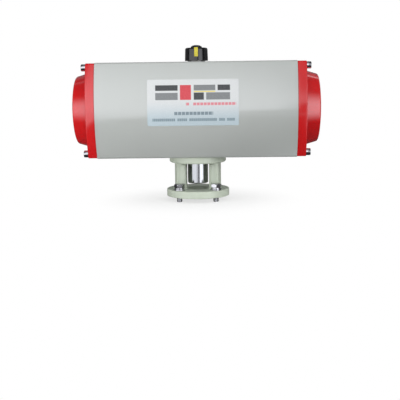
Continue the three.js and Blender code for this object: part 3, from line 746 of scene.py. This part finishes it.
def socket_screw():
    """M8 socket head screw along +Z, head seat at 0: knurled head, chamfered rim, hexagon socket."""
    n = 96
    a = np.arange(n) * 2 * math.pi / n
    knurl = 0.11 * (0.5 - 0.5 * np.cos(a * 32))

    def ring(r, t):
        r = np.broadcast_to(np.asarray(r, float), a.shape)
        return np.stack([r * np.cos(a), r * np.sin(a), np.full_like(a, t)], 1)

    rings = [np.array((0, 0, -34.0)), ring(3.3, -34.0), ring(3.9, -33.2), ring(3.9, 0)]
    rings += [ring(5.6, 0), ring(5.88, 0.25), ring(5.88, 0.9), ring(5.99 - knurl, 1.3), ring(5.99 - knurl, 6.1),
              ring(5.88, 6.5), ring(5.88, 7.1)]
    for k in range(1, 5):
        t = k / 4 * math.pi / 2
        rings.append(ring(5.88 - 0.85 * (1 - math.cos(t)), 7.1 + 0.85 * math.sin(t)))
    h = hex_r(a, 6.0)
    rings += [ring(4.0, 7.95), ring(h + 0.25, 7.95), ring(h, 7.65), ring(h, 4.2), np.array((0, 0, 3.4))]
    return loft(rings)


CAP_SCREW = socket_screw()
for side, sx in (("right", 1), ("left", -1)):
    for i, (sy, sz) in enumerate(((-1, 1), (1, 1), (1, -1), (-1, -1)), 1):
        part = tilt_to(turned(CAP_SCREW, (17, 41, 8, 29)[i - 1] + (11 if sx < 0 else 0), (0, 0)), "x")
        part = moved(part, CAP_END + 0.1, 0, 0)
        if sx < 0:
            part = flipped_x(part)
        part = moved(part, 0, sy * 50, AXIS_Z + sz * 72.8)
        piece(f"cap_bolt_{side}_{i}", [part], INOX, "housing", f"cap_screw_{side}_{i}", 30)


# ---------------------------------------------------------------- threads
def threaded(r, pitch, t0, t1, n=48, depth=None, per=6, ends=(True, True)):
    """A single-start thread along Z between t0 and t1, as one closed solid."""
    depth = depth or 0.61 * pitch
    a = np.arange(n) * 2 * math.pi / n
    zs = np.linspace(t0, t1, max(2, int(round((t1 - t0) / pitch * per)) + 1))
    rings = [np.array((0, 0, t0))]
    for z in zs:
        ph = np.mod(z / pitch - a / (2 * math.pi), 1.0)
        tri = np.abs(ph * 2 - 1)
        wave = np.clip((tri - 0.12) / 0.76, 0, 1)
        lead = min(1.0, (z - t0) / (0.8 * pitch) if ends[0] else 1.0, (t1 - z) / (0.8 * pitch) if ends[1] else 1.0)
        rr = (r - depth) + depth * wave * max(0.0, lead)
        rings.append(np.stack([rr * np.cos(a), rr * np.sin(a), np.full_like(a, z)], 1))
    rings.append(np.array((0, 0, t1)))
    return loft(rings)


# ---------------------------------------------------------------- flange bolts and washers
def hex_bolt():
    """M10 hexagon bolt along Z, head on top, bearing face at 0."""
    n = 72
    a = np.arange(n) * 2 * math.pi / n
    h = hex_r(a, 16.0)

    def ring(r, t):
        r = np.broadcast_to(np.asarray(r, float), a.shape)
        return np.stack([r * np.cos(a), r * np.sin(a), np.full_like(a, t)], 1)

    rings = [ring(4.9, -9.0), ring(4.9, -0.2), ring(7.3, 0.0), ring(7.6, 0.4)]
    for t in (0.42, 0.8, 1.2):
        rings.append(ring(np.minimum(h, 8.6 + (t - 0.42) * 1.6), t))
    rings.append(ring(h, 1.6))
    for t in np.linspace(5.2, 6.9, 9):
        cone = 9.3 - (t - 5.2) * 1.05 - max(0.0, t - 6.5) * 1.2
        rings.append(ring(np.minimum(h, cone), t))
    rings += [ring(7.0, 7.0), ring(5.2, 6.9), ring(4.8, 6.72), np.array((0, 0, 6.7))]
    rings.insert(0, np.array((0, 0, -9.0)))
    return loft(rings)


def spring_washer():
    """A split ring whose cut ends stand slightly apart in height."""
    m = 60
    rings = []
    for k in range(m + 1):
        t = math.radians(4 + 352 * k / m)
        dz = 0.25 * (k / m - 0.5)
        c, s = math.cos(t), math.sin(t)
        sec = rounded([(5.25, 0.15), (8.65, 0.15), (8.65, 2.15), (5.25, 2.15)], [0.3] * 4, 2, True)
        rings.append(np.array([(r * c, r * s, min(2.28, max(0.02, z + dz))) for r, z in sec]))
    return loft(rings)


def flat_washer(r0, r1, t):
    prof = rounded([(r0, 0), (r1, 0), (r1, t), (r0, t)], [0.15, 0.3, 0.3, 0.25], 2, True)
    return revolve(prof, "z", (0, 0, 0), 64, True)


BOLT = hex_bolt()
TIP = threaded(4.95, 1.5, -25.0, -9.0, 48, 0.85, 6, (True, False))
SPRING_W = spring_washer()
FLAT_W = flat_washer(5.3, 9.85, 1.98)
TURNS = [0.10, -0.44, 0.6, 0.1]
for i in range(4):
    a = -3 * math.pi / 4 + i * math.pi / 2
    bx, by = 45 * math.cos(a), 45 * math.sin(a)
    z = YOKE_LOW_T
    deg = math.degrees(TURNS[i])
    n = str(i + 1)
    piece("flange_hex_bolt_" + n, [moved(turned(p, deg, (0, 0)), bx, by, z + 4.7) for p in (BOLT, TIP)], INOX, "housing",
          "flange_bolt_" + n, 28)
    piece("flange_split_washer_" + n, [moved(turned(SPRING_W, 40 + 70 * i, (0, 0)), bx, by, z + 2.2)], INOX, "housing",
          "flange_spring_washer_" + n, 35)
    piece("flange_plain_washer_" + n, [moved(FLAT_W, bx, by, z + 0.1)], INOX, "housing", "flange_flat_washer_" + n,
          35)


# ---------------------------------------------------------------- yoke screws, low head
def low_screw():
    n = 72
    a = np.arange(n) * 2 * math.pi / n

    def ring(r, t):
        r = np.broadcast_to(np.asarray(r, float), a.shape)
        return np.stack([r * np.cos(a), r * np.sin(a), np.full_like(a, t)], 1)

    h = hex_r(a, 5.0)
    rings = [np.array((0, 0, 2.6)), ring(h, 2.9), ring(h, 0.25), ring(h + 0.25, 0.0), ring(5.9, 0.0), ring(6.35, 0.15),
             ring(6.45, 0.6), ring(6.45, 4.8), ring(6.3, 5.0), ring(3.9, 5.0), ring(3.9, 21.2), ring(3.3, 22.0),
             np.array((0, 0, 22.0))]
    return loft(rings)


LOW = low_screw()
for i in range(4):
    a = -3 * math.pi / 4 + i * math.pi / 2
    piece(f"yoke_low_screw_{i+1}",
          [moved(turned(LOW, 13 + 23 * i, (0, 0)), 35 * math.cos(a), 35 * math.sin(a), YOKE_TOP - YOKE_UP_T + 0.8)],
          INOX, "housing", f"yoke_screw_{i+1}", 30)


# ---------------------------------------------------------------- mounting yoke casting
def make_yoke():
    up0 = YOKE_TOP - YOKE_UP_T
    b = Build()
    b.add(revolve([(0, up0), (48.0, up0), (50.0, up0 + 2.0), (50.0, YOKE_TOP - 0.1), (0, YOKE_TOP - 0.1)], "z", (0, 0, 0), 128))
    yoke = raw("yoke_casting", b)
    boolean(yoke, Build().add(revolve([(0, 0), (YOKE_LOW_R, 0), (YOKE_LOW_R, YOKE_LOW_T - 0.8), (YOKE_LOW_R - 0.8, YOKE_LOW_T), (0, YOKE_LOW_T)], "z", (0, 0, 0), 128)), "UNION")
    wall = raw("wall", Build().add(
        revolve([(26, 5), (41, 5), (41, YOKE_TOP - 5), (26, YOKE_TOP - 5)], "z", (0, 0, 0), 128, True)))
    outline = [(19.3, -17), (19.3, 17), (36, 40), (36, 60), (-36, 60), (-36, 40), (-19.3, 17), (-19.3, -17), (-36, -40), (-36, -60),
               (36, -60), (36, -40)]
    cut = Build().add(prism(outline, YOKE_LOW_T, up0))
    boolean(wall, cut)
    cut = Build()
    for i in range(4):
        a = math.pi / 4 + i * math.pi / 2
        cut.add(revolve([(0, YOKE_LOW_T), (12.5, YOKE_LOW_T), (12.5, up0), (0, up0)], "z",
                        (44 * math.cos(a), 44 * math.sin(a), 0), 48))
    boolean(wall, cut)
    m = yoke.modifiers.new("u", "BOOLEAN")
    m.operation, m.object, m.solver = "UNION", wall, "EXACT"
    bake_modifiers(yoke)
    bpy.data.objects.remove(wall)
    cut = Build()
    cut.add(revolve([(0, -2), (22, -2), (22, YOKE_LOW_T + 2), (0, YOKE_LOW_T + 2)], "z", (0, 0, 0), 96))
    cut.add(revolve([(0, up0 - 2), (20, up0 - 2), (20, YOKE_TOP + 2), (0, YOKE_TOP + 2)], "z", (0, 0, 0), 96))
    for i in range(4):
        a = math.pi / 4 + i * math.pi / 2
        c, s = math.cos(a), math.sin(a)
        cut.add(revolve([(0, -2), (5.5, -2), (5.5, YOKE_LOW_T + 2), (0, YOKE_LOW_T + 2)], "z", (45 * c, 45 * s, 0), 32))
        cut.add(revolve([(0, up0 - 4), (7.2, up0 - 4), (7.2, up0 + 6), (4.5, up0 + 6), (4.5, YOKE_TOP + 2), (0, YOKE_TOP + 2)],
                        "z", (35 * c, 35 * s, 0), 40))
    boolean(yoke, cut)
    # cast look: every edge and root rounded by remeshing and smoothing, then thinned
    rm = yoke.modifiers.new("r", "REMESH")
    rm.mode, rm.voxel_size = "VOXEL", 0.00072
    sm = yoke.modifiers.new("s", "SMOOTH")
    sm.factor, sm.iterations = 0.5, 9
    dc = yoke.modifiers.new("d", "DECIMATE")
    dc.decimate_type, dc.ratio = "COLLAPSE", 0.22
    bake_modifiers(yoke)
    # keep inside the solid's own box
    lo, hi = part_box("mounting_yoke")
    me = yoke.data
    co = np.zeros(len(me.vertices) * 3, np.float32)
    me.vertices.foreach_get("co", co)
    co = co.reshape(-1, 3)
    co = np.clip(co, np.array(lo), np.array(hi))
    me.vertices.foreach_set("co", co.ravel())
    me.update()
    done(yoke, GREEN, "housing", "mounting_yoke", 60)
    return yoke


make_yoke()


# ---------------------------------------------------------------- drive coupling
def make_coupling():
    lo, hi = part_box("drive_coupling")
    z0, z1 = lo.z * 1000, YOKE_TOP + 0.3
    prof = [(0, z0), (16.8, z0), (17.8, z0 + 0.8), (18.0, z0 + 1.3), (18.0, z0 + 1.9), (18.0, z1 - 2.0),
            (18.0, z1 - 1.4), (17.2, z1), (0, z1)]
    c = raw("coupling_turned", Build().add(revolve(prof, "z", (0, 0, 0), 96)))
    boolean(c, Build().add(prism(rect(-8.5, 8.5, -8.5, 8.5), z1 - 3, hi.z * 1000, edge=0.5)), "UNION")
    boolean(c, Build().add(prism(rect(-7.15, 7.15, -7.15, 7.15), z0 - 2, z0 + 22)))
    done(c, INOX_BRIGHT, "output_shaft", "drive_coupling", 30)


make_coupling()


# ---------------------------------------------------------------- position indicator
def indicator_profile(d=0.0, z0=83.2):
    return rounded([(20.15 + d, z0), (19.42 + d, 105.5 + d), (0.0, 105.5 + d)], [0, 3.0, 0], 8)


def make_indicator():
    side = indicator_profile()
    prof = [(0, 99.2), (15.6, 99.2), (16.2, 98.6), (16.2, 83.2), (19.75, 83.2)]
    prof += [(20.1, 83.6)] + side[1:-1] + [(11.0, 105.5), (10.6, 105.2), (3.3, 105.2), (3.3, 102.0), (0, 102.0)]
    ob = raw("indicator_hood", Build().add(revolve(prof, "z", (0, 0, AXIS_Z), 96)))
    # recess for the pointer strip
    outer = Build().add(strip(0.6, 3.45, 90.0, -1.0))
    boolean(ob, outer)
    done(ob, BLACK, "output_shaft", "indicator_cap", 30)
    piece("indicator_strip", [strip(0.26, 3.2, 90.3, -0.9)], YELLOW, "output_shaft", "indicator_pointer", 30)
    knob = rounded([(0, 85.0), (2.9, 85.0), (2.9, 106.1), (9.9, 106.1), (9.5, 107.6), (6.2, 109.5), (2.6, 110.2), (0, 110.3)],
                   [0, 0.2, 0, 0.4, 1.4, 3.0, 3, 0], 5)
    piece("indicator_knob", [revolve(knob, "z", (0, 0, AXIS_Z), 64)], BLACK, "output_shaft", "indicator_screw",
          35)


def strip(out, half, z0, inn):
    """A U-shaped strip over the indicator: cross section between the offsets inn and out of its profile, front to back."""
    side = indicator_profile(0.0)
    side = [(r, z) for r, z in side]
    # normals of the profile, walking up the side and over the top
    pts = [np.array(p) for p in side]
    start = pts[0] + (pts[1] - pts[0]) * ((z0 - pts[0][1]) / (pts[1][1] - pts[0][1]))
    walk = [start] + pts[1:-1] + [np.array((11.5, 105.5)), np.array((0.0, 105.5))]
    nrm = []
    for i in range(len(walk)):
        a = walk[max(0, i - 1)]
        b = walk[min(len(walk) - 1, i + 1)]
        d = (b - a) / np.linalg.norm(b - a)
        nrm.append(np.array((d[1], -d[0])))
    nrm[-1] = np.array((0.0, 1.0))
    half_path = list(zip(walk, nrm))
    path = [(-p[0], p[1], -q[0], q[1]) for p, q in half_path] + [(p[0], p[1], q[0], q[1]) for p, q in half_path[::-1][1:]]
    rings = []
    for y, z, ny, nz in path:
        ring = []
        for w, o in ((-half, inn), (half, inn), (half, out - 0.12 if out < 0.5 else out), (half - 0.18, out), (-half + 0.18, out), (-half, out - 0.12 if out < 0.5 else out)):
            # follow the round of the side: drop back with the distance from the middle
            r = abs(y)
            sag = (r - math.sqrt(max(0.0, r * r - w * w))) if r > half + 1 else 0.0
            sag *= abs(ny)
            yy = y - math.copysign(sag, y) + ny * o
            ring.append((w, yy, z + nz * o + AXIS_Z))
        rings.append(np.array(ring))
    return loft(rings)


make_indicator()


# ---------------------------------------------------------------- stop screws and lock nuts
def make_stops():
    n = 72
    a = np.arange(n) * 2 * math.pi / n

    def ring(r, t):
        r = np.broadcast_to(np.asarray(r, float), a.shape)
        return np.stack([r * np.cos(a), r * np.sin(a), np.full_like(a, t)], 1)

    h = hex_r(a, 17.0)
    rings = [ring(5.05, 72.3)]
    rings += [ring(np.minimum(h, 8.3), 72.2)]
    for t in np.linspace(72.4, 73.4, 5):
        rings.append(ring(np.minimum(h, 8.4 + (t - 72.4) * 1.4), t))
    for t in np.linspace(78.8, 80.0, 6):
        rings.append(ring(np.minimum(h, 9.85 - (t - 78.8) * 1.25), t))
    rings += [ring(np.minimum(h, 8.2), 80.15), ring(5.7, 80.2), ring(5.05, 79.5)]
    nut = loft(rings, wrap=True)
    body = revolve([(0, 14.3), (3.9, 14.3), (4.8, 15.3), (4.8, 60.0), (0, 60.0)], "z", (0, 0, 0), 48)
    hx = hex_r(a, 5.0)
    tail = [np.array((0, 0, 60.0))]
    pitch = 1.5
    for z in np.linspace(60.0, 91.0, 125):
        ph = np.mod(z / pitch - a / (2 * math.pi), 1.0)
        wave = np.clip((np.abs(ph * 2 - 1) - 0.12) / 0.76, 0, 1)
        lead = min(1.0, (91.0 - z) / 1.2)
        rr = 4.05 + 0.75 * wave * max(0.0, lead)
        tail.append(np.stack([rr * np.cos(a), rr * np.sin(a), np.full_like(a, z)], 1))
    tail += [ring(4.0, 91.6), ring(3.7, 92.0), ring(hx + 0.2, 92.0), ring(hx, 91.7), ring(hx, 87.6), np.array((0, 0, 86.8))]
    screw_tail = loft(tail)
    for name, x, deg in (("closed", -30, 7), ("open", 30, 38)):
        at = (x, 0, AXIS_Z + STOP_Z)
        parts = [moved(tilt_to(turned(p, deg, (0, 0)), "y"), *at) for p in (body, screw_tail)]
        piece("travel_stop_" + name, parts, INOX, "housing", "stop_screw_" + name, 30)
        piece("travel_nut_" + name, [moved(tilt_to(turned(nut, deg * 1.7, (0, 0)), "y"), *at)], INOX, "housing",
              "stop_nut_" + name, 30)


make_stops()


# ---------------------------------------------------------------- label
def make_label():
    lo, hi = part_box("data_label")
    x0, x1 = lo.x * 1000, hi.x * 1000
    z0, z1 = lo.z * 1000 - AXIS_Z, hi.z * 1000 - AXIS_Z
    c = HALF_W - SIDE_R
    a0, a1 = math.asin(z0 / SIDE_R), math.asin(z1 / SIDE_R)
    nx, nz, rad = 48, 28, 1.6
    xs = np.linspace(x0, x1, nx + 1)
    aa = np.linspace(a0, a1, nz + 1)
    verts, faces, uvs = [], [], []

    def corner(i, j):
        """Grid point pulled in to a rounded corner."""
        x, s = xs[i], aa[j] * SIDE_R
        sx0, sx1, s0, s1 = x0 + rad, x1 - rad, a0 * SIDE_R + rad, a1 * SIDE_R - rad
        cx, cs = min(max(x, sx0), sx1), min(max(s, s0), s1)
        dx, ds = x - cx, s - cs
        d = math.hypot(dx, ds)
        if dx and ds and d > rad:
            x, s = cx + dx / d * rad, cs + ds / d * rad
        return x, s / SIDE_R

    for layer, r in ((0, SIDE_R + 0.16), (1, SIDE_R + 0.46)):
        for j in range(nz + 1):
            for i in range(nx + 1):
                x, a = corner(i, j)
                verts.append((x, -(c + r * math.cos(a)), r * math.sin(a) + AXIS_Z))
    n = (nx + 1) * (nz + 1)

    def idx(layer, i, j):
        return layer * n + j * (nx + 1) + i

    for j in range(nz):
        for i in range(nx):
            faces.append((idx(1, i, j), idx(1, i + 1, j), idx(1, i + 1, j + 1), idx(1, i, j + 1)))
            faces.append((idx(0, i, j + 1), idx(0, i + 1, j + 1), idx(0, i + 1, j), idx(0, i, j)))
    rim = [(i, 0) for i in range(nx)] + [(nx, j) for j in range(nz)] + [(i, nz) for i in range(nx, 0, -1)] + [(0, j) for j in range(nz, 0, -1)]
    for k in range(len(rim)):
        p, q = rim[k], rim[(k + 1) % len(rim)]
        faces.append((idx(0, *p), idx(0, *q), idx(1, *q), idx(1, *p)))
    b = Build()
    b.add((verts, faces))
    ob = raw("label_plate", b)
    me = ob.data
    layer = me.uv_layers.new(name="label")
    for loop in me.loops:
        co = me.vertices[loop.vertex_index].co * 1000
        layer.data[loop.index].uv = ((co.x - x0) / (x1 - x0), (co.z - AXIS_Z - z0) / (z1 - z0))
    done(ob, PRINT, "housing", "data_label", 40)


make_label()


# ---------------------------------------------------------------- return springs
def coil(x_in, x_out, sign):
    """Round-wire spring from the piston pocket to the cap's cup, end turns closed."""
    lo, hi = x_in, x_out
    r, wire, turns = 38.0, 3.95, 8.5
    length = hi - lo - 2 * wire - 0.4
    steps, sides = 408, 12
    t = np.linspace(0, 1, steps + 1)
    end = 0.9 / turns
    ease = np.where(t < end, 0.35 * t, np.where(t > 1 - end, 1 - 0.35 * (1 - t),
                    0.35 * end + (t - end) * (1 - 0.7 * end) / (1 - 2 * end)))
    ang = 2 * math.pi * turns * t
    x = lo + wire + 0.2 + ease * length
    path = np.stack([x, r * np.cos(ang), r * np.sin(ang)], 1)
    tan = np.gradient(path, axis=0)
    tan /= np.linalg.norm(tan, axis=1, keepdims=True)
    out = np.stack([np.zeros_like(ang), np.cos(ang), np.sin(ang)], 1)
    out -= tan * np.sum(tan * out, 1, keepdims=True)
    out /= np.linalg.norm(out, axis=1, keepdims=True)
    side = np.cross(tan, out)
    rings = []
    for k in range(steps + 1):
        b = np.arange(sides) * 2 * math.pi / sides
        rings.append(path[k] + wire * (np.cos(b)[:, None] * out[k] + np.sin(b)[:, None] * side[k]))
    v, f = loft(rings)
    v = np.array(v)
    v[:, 2] += AXIS_Z
    if sign < 0:
        v[:, 0] *= -1
        f = [tuple(reversed(q)) for q in f]
    return v.tolist(), f


for side, s in (("right", 1), ("left", -1)):
    lo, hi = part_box("return_spring_" + side)
    x_in, x_out = (lo.x, hi.x) if s > 0 else (-hi.x, -lo.x)
    ob = piece("coil_spring_" + side, [coil(x_in * 1000, x_out * 1000, s)], SPRING, "housing", "return_spring_" + side,
               50)
    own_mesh(ob)


# ---------------------------------------------------------------- seals, rings and bushes as smooth rings
def o_ring(name, rc, r, t, axis, centre, body, old, squeeze=1.0):
    prof = [(rc + r * squeeze * math.cos(b), t + r * math.sin(b)) for b in np.arange(14) * 2 * math.pi / 14]
    piece(name, [revolve(prof, axis, centre, 96, True)], RUBBER, body, old, 60)


def band(name, r0, r1, t0, t1, axis, centre, body, old, mat, slot):
    prof = rounded([(r0, t0), (r1, t0), (r1, t1), (r0, t1)], [0.2] * 4, 2, True)
    piece(name, [revolve(prof, axis, centre, 96, True)], mat, body, old, 35)


C0 = (0, 0, AXIS_Z)
o_ring("cap_o_ring_right", 65.3, 1.65, BODY_HALF - 4.3, "x", C0, "housing", "end_cap_seal_right")
o_ring("cap_o_ring_left", 65.3, 1.65, -BODY_HALF + 4.3, "x", C0, "housing", "end_cap_seal_left")
o_ring("piston_o_ring_right", 65.1, 1.8, 76.5, "x", C0, "piston_right", "piston_seal_right")
o_ring("piston_o_ring_left", 65.1, 1.8, -76.5, "x", C0, "piston_left", "piston_seal_left")
o_ring("shaft_o_ring_lower", 24.5, 0.95, -69.7, "z", C0, "output_shaft", "shaft_seal_lower")
o_ring("shaft_o_ring_upper", 16.45, 1.05, 75.6, "z", C0, "output_shaft", "shaft_seal_upper")
band("guide_band_right", 65.0, 67.2, 59.2, 68.8, "x", C0, "piston_right", "wear_ring_right", ACETAL, "acetal")
band("guide_band_left", 65.0, 67.2, -68.8, -59.2, "x", C0, "piston_left", "wear_ring_left", ACETAL, "acetal")
band("bush_lower", 25.9, 28.2, -79.4, -72.2, "z", C0, "housing", "lower_bush", ACETAL, "acetal")
band("bush_upper", 17.9, 20.4, 67.6, 72.8, "z", C0, "housing", "upper_bush", ACETAL, "acetal")
band("washer_thrust", 15.4, 23.9, 78.2, 80.0, "z", C0, "output_shaft", "thrust_washer", ACETAL, "acetal")


# ---------------------------------------------------------------- inner parts: CAD solids with eased edges
def eased(name, old, mat, body, width=0.35, angle=38):
    src = NODES[old]
    me = src.data.copy()
    ob = bpy.data.objects.new(name, me)
    bpy.context.scene.collection.objects.link(ob)
    bm = bmesh.new()
    bm.from_mesh(me)
    bmesh.ops.remove_doubles(bm, verts=bm.verts, dist=2e-6)
    bmesh.ops.dissolve_limit(bm, angle_limit=math.radians(0.6), verts=bm.verts, edges=bm.edges)
    bm.to_mesh(me)
    bm.free()
    if width > 0:
        b = ob.modifiers.new("edge", "BEVEL")
        b.limit_method, b.angle_limit = "ANGLE", math.radians(angle)
        b.width, b.segments = width * MM, 2
        b.use_clamp_overlap = True
        bake_modifiers(ob)
    for attr in list(ob.data.attributes):
        if attr.name.startswith("custom_normal"):
            ob.data.attributes.remove(attr)
    return done(ob, mat, body, old, 24)


eased("piston_body_right", "piston_right", CAST, "piston_right")
eased("piston_body_left", "piston_left", CAST, "piston_left")
eased("rack_pad_right", "guide_pad_right", ACETAL, "piston_right", 0.3)
eased("rack_pad_left", "guide_pad_left", ACETAL, "piston_left", 0.3)
eased("shaft_and_pinion", "pinion_shaft", NICKEL, "output_shaft", 0.2)
eased("cam_plate", "stop_cam", NICKEL, "output_shaft", 0.4)
eased("snap_ring", "retaining_ring", NICKEL, "output_shaft", 0.15)


# ---------------------------------------------------------------- stage, light, camera
scene = bpy.context.scene
scene.view_settings.view_transform = "Standard"
scene.view_settings.look = "None"
scene.view_settings.exposure = 0.0
scene.view_settings.gamma = 1.0


def make_floor():
    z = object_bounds()[0][2]
    b = Build()
    rings = []
    for r in (60, 150, 300, 600, 1200, 2400, 6000):
        a = np.arange(96) * 2 * math.pi / 96
        rings.append(np.stack([r * np.cos(a), r * np.sin(a), np.full_like(a, 0.0)], 1))
    verts, faces = loft([np.array((0.0, 0.0, 0.0))] + rings)
    faces = faces[:-1]
    b.add((verts, faces))
    me = bpy.data.meshes.new("floor")
    me.from_pydata((np.array(b.v) * MM).tolist(), [], b.f)
    floor = bpy.data.objects.new("floor", me)
    floor.location = (0, 0, z - 0.0002)
    scene.collection.objects.link(floor)
    m = bpy.data.materials.new("pale_floor")
    m.use_nodes = True
    nt = m.node_tree
    nt.nodes.clear()
    out = nt.nodes.new("ShaderNodeOutputMaterial")
    dif = nt.nodes.new("ShaderNodeBsdfDiffuse")
    dif.inputs["Color"].default_value = (0.9, 0.9, 0.9, 1)
    emi = nt.nodes.new("ShaderNodeEmission")
    emi.inputs["Color"].default_value = (1, 1, 1, 1)
    emi.inputs["Strength"].default_value = 1.0
    mix = nt.nodes.new("ShaderNodeMixShader")
    tc = nt.nodes.new("ShaderNodeTexCoord")
    ln = nt.nodes.new("ShaderNodeVectorMath")
    ln.operation = "LENGTH"
    nt.links.new(tc.outputs["Object"], ln.inputs[0])
    nt.links.new(step(nt, ln.outputs["Value"], 0.05, 0.20, 0.66, 1.0), mix.inputs[0])
    nt.links.new(dif.outputs[0], mix.inputs[1])
    nt.links.new(emi.outputs[0], mix.inputs[2])
    # bounced light sees a greyer table, so that it doesn't flood the undersides
    grey = nt.nodes.new("ShaderNodeBsdfDiffuse")
    fs = nt.nodes.new("ShaderNodeSeparateXYZ")
    nt.links.new(tc.outputs["Object"], fs.inputs[0])
    # painted light: the bounce colour runs from 0.97 on the left to 0.60 on the right, a brighter patch of table that
    # lifts the left undersides
    nt.links.new(step(nt, fs.outputs[0], -0.26, 0.26, 0.97, 0.60), grey.inputs["Color"])
    lp = nt.nodes.new("ShaderNodeLightPath")
    seen = nt.nodes.new("ShaderNodeMixShader")
    nt.links.new(lp.outputs["Is Camera Ray"], seen.inputs[0])
    nt.links.new(grey.outputs[0], seen.inputs[1])
    nt.links.new(mix.outputs[0], seen.inputs[2])
    nt.links.new(seen.outputs[0], out.inputs[0])
    me.materials.append(m)
    floor.visible_glossy = False


make_floor()


def make_world():
    w = bpy.data.worlds.new("studio")
    scene.world = w
    w.use_nodes = True
    nt = w.node_tree
    nt.nodes.clear()
    out = nt.nodes.new("ShaderNodeOutputWorld")
    tc = nt.nodes.new("ShaderNodeTexCoord")
    sep = nt.nodes.new("ShaderNodeSeparateXYZ")
    nt.links.new(tc.outputs["Generated"], sep.inputs[0])
    x, y, z = sep.outputs
    el = math_node(nt, "ARCSINE", z)
    az = math_node(nt, "ARCTAN2", x, math_node(nt, "MULTIPLY", y, -1.0))
    D = math.radians

    def window(v, a0, a1, b0, b1):
        return math_node(nt, "MULTIPLY", step(nt, v, D(a0), D(a1)), step(nt, v, D(b0), D(b1), 1.0, 0.0))

    def add(a, b):
        return math_node(nt, "ADD", a, b)

    def mul(*xs):
        r = xs[0]
        for q in xs[1:]:
            r = math_node(nt, "MULTIPLY", r, q)
        return r

    # what shines in gloss: dark room with four softboxes and a strip past the zenith
    phi = math_node(nt, "ARCTAN2", z, math_node(nt, "MULTIPLY", y, -1.0))
    val = step(nt, el, D(-40), D(0), 0.04, 0.06)
    left = mul(window(az, -80, -70, -26, -18), step(nt, el, D(-31), D(0)), step(nt, el, D(10), D(38), 1.0, 0.0))
    val = add(val, mul(left, 1.75))
    right = mul(window(az, 19, 27, 56, 68), step(nt, el, D(-38), D(-8)), step(nt, el, D(8), D(46), 1.0, 0.0))
    val = add(val, mul(right, 2.3))
    # the middle box, its lower edge rising to the right
    edge = add(el, math_node(nt, "MULTIPLY", az, -0.65))
    mid_ = mul(window(az, -27, -19, 4.2, 8), step(nt, edge, D(-7.2), D(-3.3)), step(nt, el, D(-9), D(2), 0.70, 1.0),
               step(nt, el, D(-4), D(80), 1.75, 0.05, False), step(nt, az, D(-6), D(2), 1.0, 1.22))
    val = add(val, mid_)
    # dim box right of the middle
    val = add(val, mul(window(az, 4, 9, 19, 27), step(nt, el, D(1), D(7)), step(nt, el, D(6), D(24), 0.95, 0.25)))
    val = add(val, mul(window(az, 13, 17, 20, 24), step(nt, el, D(-26), D(-18)), step(nt, el, D(-2), D(6), 1.0, 0.0), 0.28))
    # low grey card between the two tall boxes
    val = add(val, mul(window(az, -5, -2, 17, 21), window(el, -9.6, -8.4, -6.2, -5.4), 0.45))
    # strip past the zenith, and the wall behind
    lean = add(phi, math_node(nt, "MULTIPLY", x, D(-15)))
    val = add(val, mul(window(lean, 116.5, 119.5, 123.5, 126.5), step(nt, x, -0.5, 0.4, 0.35, 1.4)))
    val = add(val, mul(step(nt, phi, D(126), D(140)), step(nt, phi, D(172), D(180), 1.0, 0.0), 0.12))
    gloss = nt.nodes.new("ShaderNodeBackground")
    gloss.inputs["Color"].default_value = (0.98, 0.99, 1.05, 1)
    nt.links.new(val, gloss.inputs["Strength"])

    # what falls on matt surfaces: a broad soft dome, stronger from the front left
    soft = step(nt, el, D(-10), D(50), 0.78, AMBIENT_TOP)
    front = mul(step(nt, math_node(nt, "MULTIPLY", y, -1.0), 0.0, 1.0), step(nt, az, D(-70), D(70), FRONT_L, FRONT_R))
    soft = add(add(soft, front), step(nt, x, 0.1, 0.9, 0.0, RIGHT))
    diffuse = nt.nodes.new("ShaderNodeBackground")
    diffuse.inputs["Color"].default_value = (1, 1, 1, 1)
    nt.links.new(soft, diffuse.inputs["Strength"])

    white = nt.nodes.new("ShaderNodeBackground")
    white.inputs["Color"].default_value = (1, 1, 1, 1)
    white.inputs["Strength"].default_value = 1.0
    lp = nt.nodes.new("ShaderNodeLightPath")
    m1 = nt.nodes.new("ShaderNodeMixShader")
    nt.links.new(lp.outputs["Is Diffuse Ray"], m1.inputs[0])
    nt.links.new(gloss.outputs[0], m1.inputs[1])
    nt.links.new(diffuse.outputs[0], m1.inputs[2])
    m2 = nt.nodes.new("ShaderNodeMixShader")
    nt.links.new(lp.outputs["Is Camera Ray"], m2.inputs[0])
    nt.links.new(m1.outputs[0], m2.inputs[1])
    nt.links.new(white.outputs[0], m2.inputs[2])
    nt.links.new(m2.outputs[0], out.inputs[0])


AMBIENT_TOP, FRONT_L, FRONT_R, RIGHT = 0.70, 0.89, 0.45, 1.25
make_world()


def make_side_light():
    """A soft panel near the left end, so that the light falls off along the cylinder."""
    data = bpy.data.lights.new("left_panel", "AREA")
    data.shape, data.size, data.energy = "SQUARE", 0.32, 1.90
    lamp = bpy.data.objects.new("left_panel", data)
    lamp.location = (-0.62, -0.62, 0.04)
    aim = Vector((-0.12, -0.05, 0.14)) - lamp.location
    lamp.rotation_euler = aim.to_track_quat("-Z", "Y").to_euler()
    lamp.visible_camera = False
    lamp.visible_glossy = False
    scene.collection.objects.link(lamp)


make_side_light()

cam_data = bpy.data.cameras.new("camera")
cam = bpy.data.objects.new("camera", cam_data)
scene.collection.objects.link(cam)
scene.camera = cam
cam_data.sensor_width = 36.0
cam_data.lens = 755.0 / 400.0 * 36.0
cam_data.clip_start, cam_data.clip_end = 0.05, 50.0
cam.location = (0.0372, -1.3380, 0.2018)
cam.rotation_euler = Euler((math.radians(81.005), math.radians(0.743), math.radians(1.348)), "XYZ")
